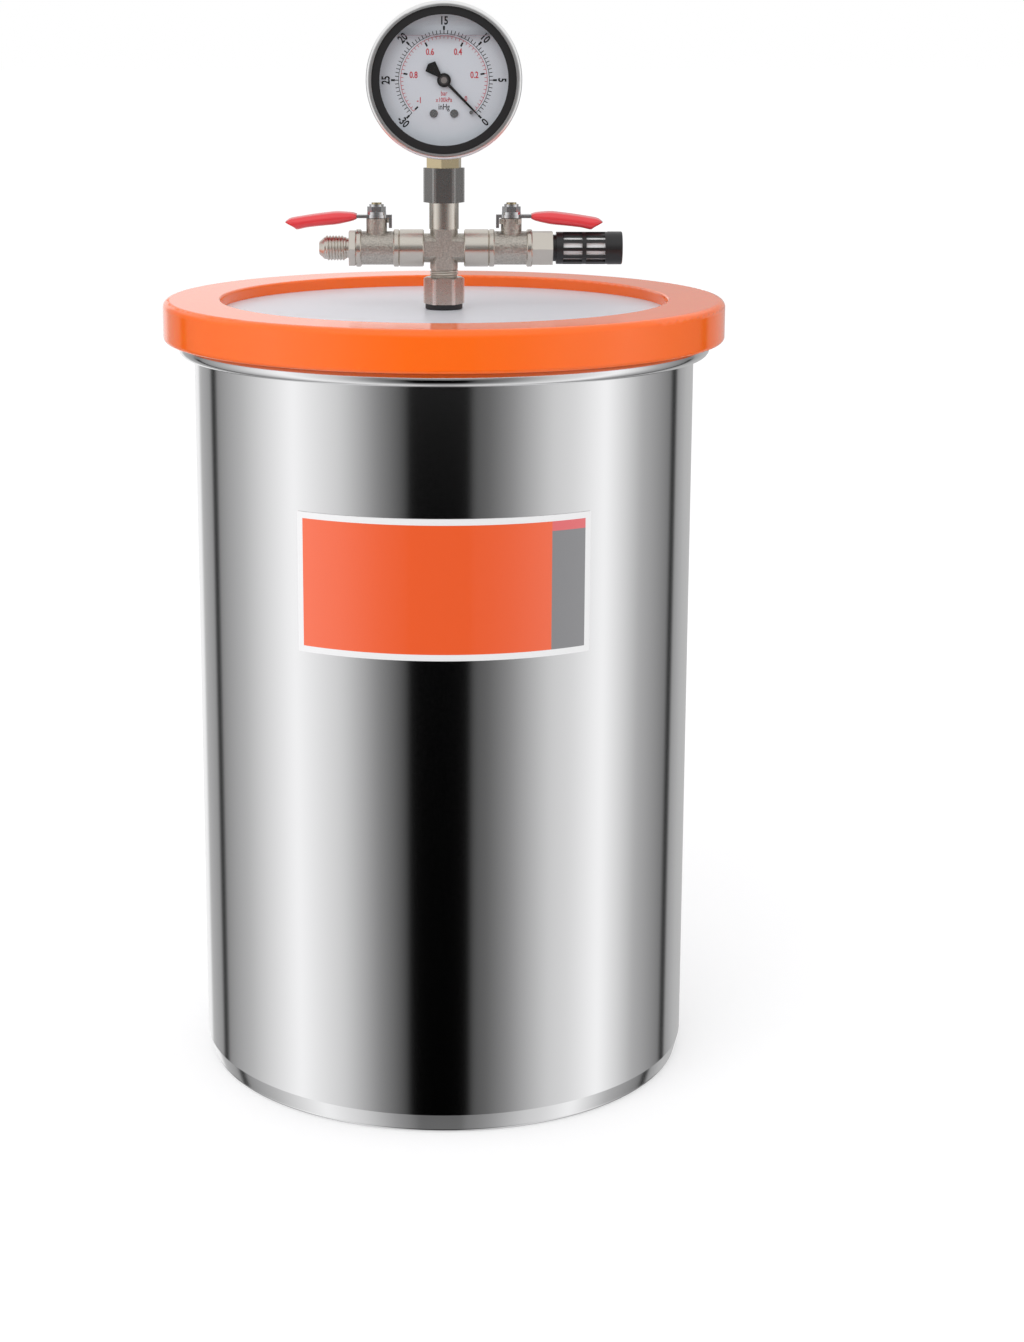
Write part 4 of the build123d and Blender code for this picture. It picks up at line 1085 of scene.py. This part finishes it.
# --- grips
@dataclass
class LeverGrip:
    """The dipped sleeve on a valve lever: narrow at its mouth, crowned, with its tip cut back below.

    Shares run along its length from 0 at the mouth to 1 at the tip.

    Attributes:
        side: Which valve it belongs to.
        half_thick: Half its thickness where it is fullest.
        half_width: Half its width.
        least_width: Its least width, as a share of the full width.
        mouth: Its thickness at the mouth, as a share of the fullest.
        swell_end: Share of its length where it is fullest.
        swell_power: How quickly it swells, lower for quicker.
        thinning: How much thinner it grows towards the tip.
        thin_start: Where that begins.
        closing: How far it closes at the tip, 1 for a point.
        close_start: Where that begins.
        undercut: How far its underside ends before its tip.
        undercut_start: Where that begins.
        arch: How far its back is arched.
        across_round: How much narrower its top and bottom are.
        up_round: How much thinner its sides are.
        mouth_drop: Depth of the mouth's middle below the lever grip's top.
        tip_rise: Height of the tip's middle above the lever grip's bottom.
        cuts: How finely the starting block is divided.
    """

    side: str
    half_thick: float = 3.3 * MM
    half_width: float = 6.0 * MM
    least_width: float = 0.55
    mouth: float = 0.42
    swell_end: float = 0.28
    swell_power: float = 0.6
    thinning: float = 0.1
    thin_start: float = 0.35
    closing: float = 0.72
    close_start: float = 0.9
    undercut: float = 0.12
    undercut_start: float = 0.7
    arch: float = 0.5 * MM
    across_round: float = 0.36
    up_round: float = 0.42
    mouth_drop: float = 2.65 * MM
    tip_rise: float = 2.35 * MM
    cuts: int = 19

    def fullness(self, share: float) -> float:
        """Says how full the sleeve is.

        Args:
            share: How far along it is.

        Returns:
            Its thickness there, as a share of the fullest.
        """
        swell = self.mouth + (1 - self.mouth) * min(1.0, share / self.swell_end) ** self.swell_power
        thin = 1 - self.thinning * beyond(share, self.thin_start)
        closed = self.closing * beyond(share, self.close_start) ** 2
        return swell * thin * math.sqrt(1 - closed)

    def build(self) -> None:
        """Shapes the sleeve from a divided block."""
        low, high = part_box(f"{self.side}_lever_grip")
        mouth_x, tip_x = (high[0], low[0]) if self.side == "left" else (low[0], high[0])
        mouth_z = high[2] - self.mouth_drop
        tip_z = low[2] + self.tip_rise
        shape = bmesh.new()
        bmesh.ops.create_cube(shape, size=2.0)
        bmesh.ops.subdivide_edges(shape, edges=shape.edges[:], cuts=self.cuts, use_grid_fill=True)
        for vert in shape.verts:
            share = (vert.co.x + 1) / 2
            across, up = vert.co.y, vert.co.z
            full = self.fullness(share)
            width = self.half_width * (self.least_width + (1 - self.least_width) * full)
            thick = self.half_thick * full
            cut_back = self.undercut * beyond(share, self.undercut_start) * (1 - up) / 2
            middle_z = mouth_z + (tip_z - mouth_z) * share + self.arch * math.sin(math.pi * share)
            vert.co = Vector((
                mouth_x + (tip_x - mouth_x) * (share - cut_back),
                across * math.sqrt(1 - self.across_round * up * up) * width,
                middle_z + up * math.sqrt(1 - self.up_round * across * across) * thick,
            ))
        piece = mesh_piece(f"{self.side}_dipped_grip", shape, VINYL, f"{self.side}_handle", smooth=True)
        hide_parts(f"{self.side}_lever_grip")


def build_fittings() -> None:
    """Builds the nipple, the thread under the cross and the two grips."""
    FlareNipple().build()
    Thread(
        name="lid_fitting_thread",
        start=Vector((0, 0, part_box("lid_fitting")[1][2])),
        axis=Vector((0, 0, 1)),
        root=6.48 * MM,
        depth=0.6 * MM,
        pitch=1.34 * MM,
        length=4.0 * MM,
    ).build()
    for side in SIDES:
        LeverGrip(side).build()


# --- stage
# Brightness of the surroundings by degrees from straight in front, towards +X.
RING_LIGHT: dict[float, float] = {
    -180: 0.98, -156: 0.98, -151: 0.5, -134.5: 0.36, -133: 0.015, -128.5: 0.015, -127: 0.3,
    -105: 0.56, -72: 1.15, -48: 0.76, -30: 0.29, -20: 0.12, -16.5: 0.055, -15.5: 0.0, 12: 0.0,
    13: 0.1, 20: 0.15, 30: 0.3, 50: 0.74, 60: 0.84, 78: 1.15, 102: 0.5, 127: 0.22, 128.5: 0.015,
    133: 0.015, 134.5: 0.38, 148: 0.52, 180: 0.54,
}


@dataclass
class Studio:
    """The floor, the lights, the surroundings seen in the metal, and the camera.

    Heights in the surroundings are a direction's z.

    Attributes:
        distance: Distance of the camera from the axis along the floor.
        height: Height of the camera.
        pitch: How far the camera looks down, in degrees.
        lens: Focal length.
        sensor: Width of the sensor.
        shift: The camera's shift.
        lamp: Power of the soft lamp in watts.
        lamp_size: Width and height of the lamp.
        lamp_place: Its place.
        lamp_aim: Its target.
        floor_half: Half the floor's width.
        floor_grey: The floor's colour.
        floor_glow: Light that the floor adds for the camera.
        even_light: The surroundings for all that isn't a reflection.
        level_band: Heights between which the dark strips turn grey.
        level_least: The least brightness above that.
        top_band: Heights between which the surroundings turn white upwards.
        top_light: Brightness above that.
        down_band: Depths between which they turn white downwards.
        down_light: Brightness below that.
    """

    distance: float = 1.2426
    height: float = 0.5258
    pitch: float = 12.49
    lens: float = 66.5
    sensor: float = 36.0
    shift: tuple[float, float] = (0.0507, -0.0712)
    lamp: float = 10.0
    lamp_size: tuple[float, float] = (1.6, 1.2)
    lamp_place: tuple[float, float, float] = (-0.7, -1.3, 1.7)
    lamp_aim: tuple[float, float, float] = (0, 0, 0.35)
    floor_half: float = 30.0
    floor_grey: Colour = (0.82, 0.82, 0.82)
    floor_glow: float = 0.25
    even_light: Colour = (0.95, 0.95, 0.96)
    level_band: tuple[float, float] = (-0.105, -0.07)
    level_least: float = 0.24
    top_band: tuple[float, float] = (0.2, 0.45)
    top_light: Colour = (0.9, 0.9, 0.9)
    down_band: tuple[float, float] = (0.66, 1.2)
    down_light: Colour = (0.75, 0.75, 0.75)

    def floor(self) -> None:
        """Lays the pale floor, which the metal doesn't mirror."""
        shape = bmesh.new()
        sheet(shape, Matrix.Identity(4), self.floor_half)
        mesh = bpy.data.meshes.new("floor")
        shape.to_mesh(mesh)
        shape.free()
        floor = bpy.data.objects.new("floor", mesh)
        bpy.context.scene.collection.objects.link(floor)
        floor.visible_glossy = False
        paint = bpy.data.materials.new("pale_floor")
        paint.use_nodes = True
        graph = Graph(paint.node_tree)
        diffuse = graph.node("BsdfDiffuse", {"Color": self.floor_grey})
        seen = graph.node("LightPath").outputs["Is Camera Ray"]
        glow = graph.node("Emission", {"Strength": graph.math("MULTIPLY", seen, self.floor_glow)})
        total = graph.node("AddShader", {0: diffuse.outputs[0], 1: glow.outputs[0]})
        graph.node("OutputMaterial", {"Surface": total.outputs[0]})
        mesh.materials.append(paint)

    def surroundings(self) -> None:
        """Builds the world, bright and dark strips in the metal."""
        world = bpy.data.worlds.new("studio")
        world.use_nodes = True
        bpy.context.scene.world = world
        graph = Graph(world.node_tree)
        x, y, z = graph.xyz("Generated")
        around = graph.math("ARCTAN2", x, graph.math("MULTIPLY", y, -1.0))
        turn = graph.math("ADD", graph.math("DIVIDE", around, 2 * math.pi), 0.5)
        ramp = graph.node("ValToRGB", {0: turn})
        self.fill_ramp(ramp)
        strips = ramp.outputs[0]
        down = graph.math("MULTIPLY", z, -1.0)
        lifted = graph.math("MAXIMUM", strips, self.level_least)
        mirrored = graph.mix(graph.step(z, *self.level_band), strips, lifted)
        mirrored = graph.mix(graph.step(z, *self.top_band), mirrored, self.top_light)
        mirrored = graph.mix(graph.step(down, *self.down_band), mirrored, self.down_light)
        path = graph.node("LightPath")
        unseen = graph.mix(path.outputs["Is Glossy Ray"], self.even_light, mirrored)
        seen = graph.mix(path.outputs["Is Camera Ray"], unseen, WHITE)
        background = graph.node("Background", {"Color": seen})
        graph.node("OutputWorld", {"Surface": background.outputs[0]})

    def fill_ramp(self, ramp: bpy.types.Node) -> None:
        """Sets the brightness round the studio.

        Args:
            ramp: The colour ramp, whose 0 and 1 are straight behind.
        """
        elements = ramp.color_ramp.elements
        while len(elements) > 1:
            elements.remove(elements[-1])
        for index, (degrees, light) in enumerate(RING_LIGHT.items()):
            place = (degrees + 180) / 360
            stop = elements[0] if index == 0 else elements.new(place)
            stop.position = place
            stop.color = (light, light, light, 1.0)

    def lights(self) -> None:
        """Hangs a large soft lamp above the front."""
        data = bpy.data.lights.new("soft_lamp", "AREA")
        data.shape = "RECTANGLE"
        data.size, data.size_y = self.lamp_size
        data.energy = self.lamp
        lamp = bpy.data.objects.new("soft_lamp", data)
        lamp.location = self.lamp_place
        aim = Vector(self.lamp_aim) - Vector(self.lamp_place)
        lamp.rotation_euler = aim.to_track_quat("-Z", "Y").to_euler()
        lamp.visible_glossy = False
        bpy.context.scene.collection.objects.link(lamp)

    def camera(self) -> None:
        """Stands the camera in front of the object."""
        data = bpy.data.cameras.new("camera")
        data.lens = self.lens
        data.sensor_width = self.sensor
        data.shift_x, data.shift_y = self.shift
        camera = bpy.data.objects.new("camera", data)
        camera.location = (0.0, -self.distance, self.height)
        camera.rotation_euler = (math.radians(90 - self.pitch), 0.0, 0.0)
        bpy.context.scene.collection.objects.link(camera)
        bpy.context.scene.camera = camera

    def build(self) -> None:
        """Sets the stage and the view settings."""
        bpy.context.scene.view_settings.view_transform = "Standard"
        self.floor()
        self.surroundings()
        self.lights()
        self.camera()


def main() -> None:
    """Builds the part's looks and the stage."""
    logging.basicConfig(level=logging.INFO)
    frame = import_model()
    dress_nodes(frame["nodes"])
    DialPrint().build()
    build_fittings()
    FluidSurface().build()
    Studio().build()


if __name__ == "__main__":
    main()
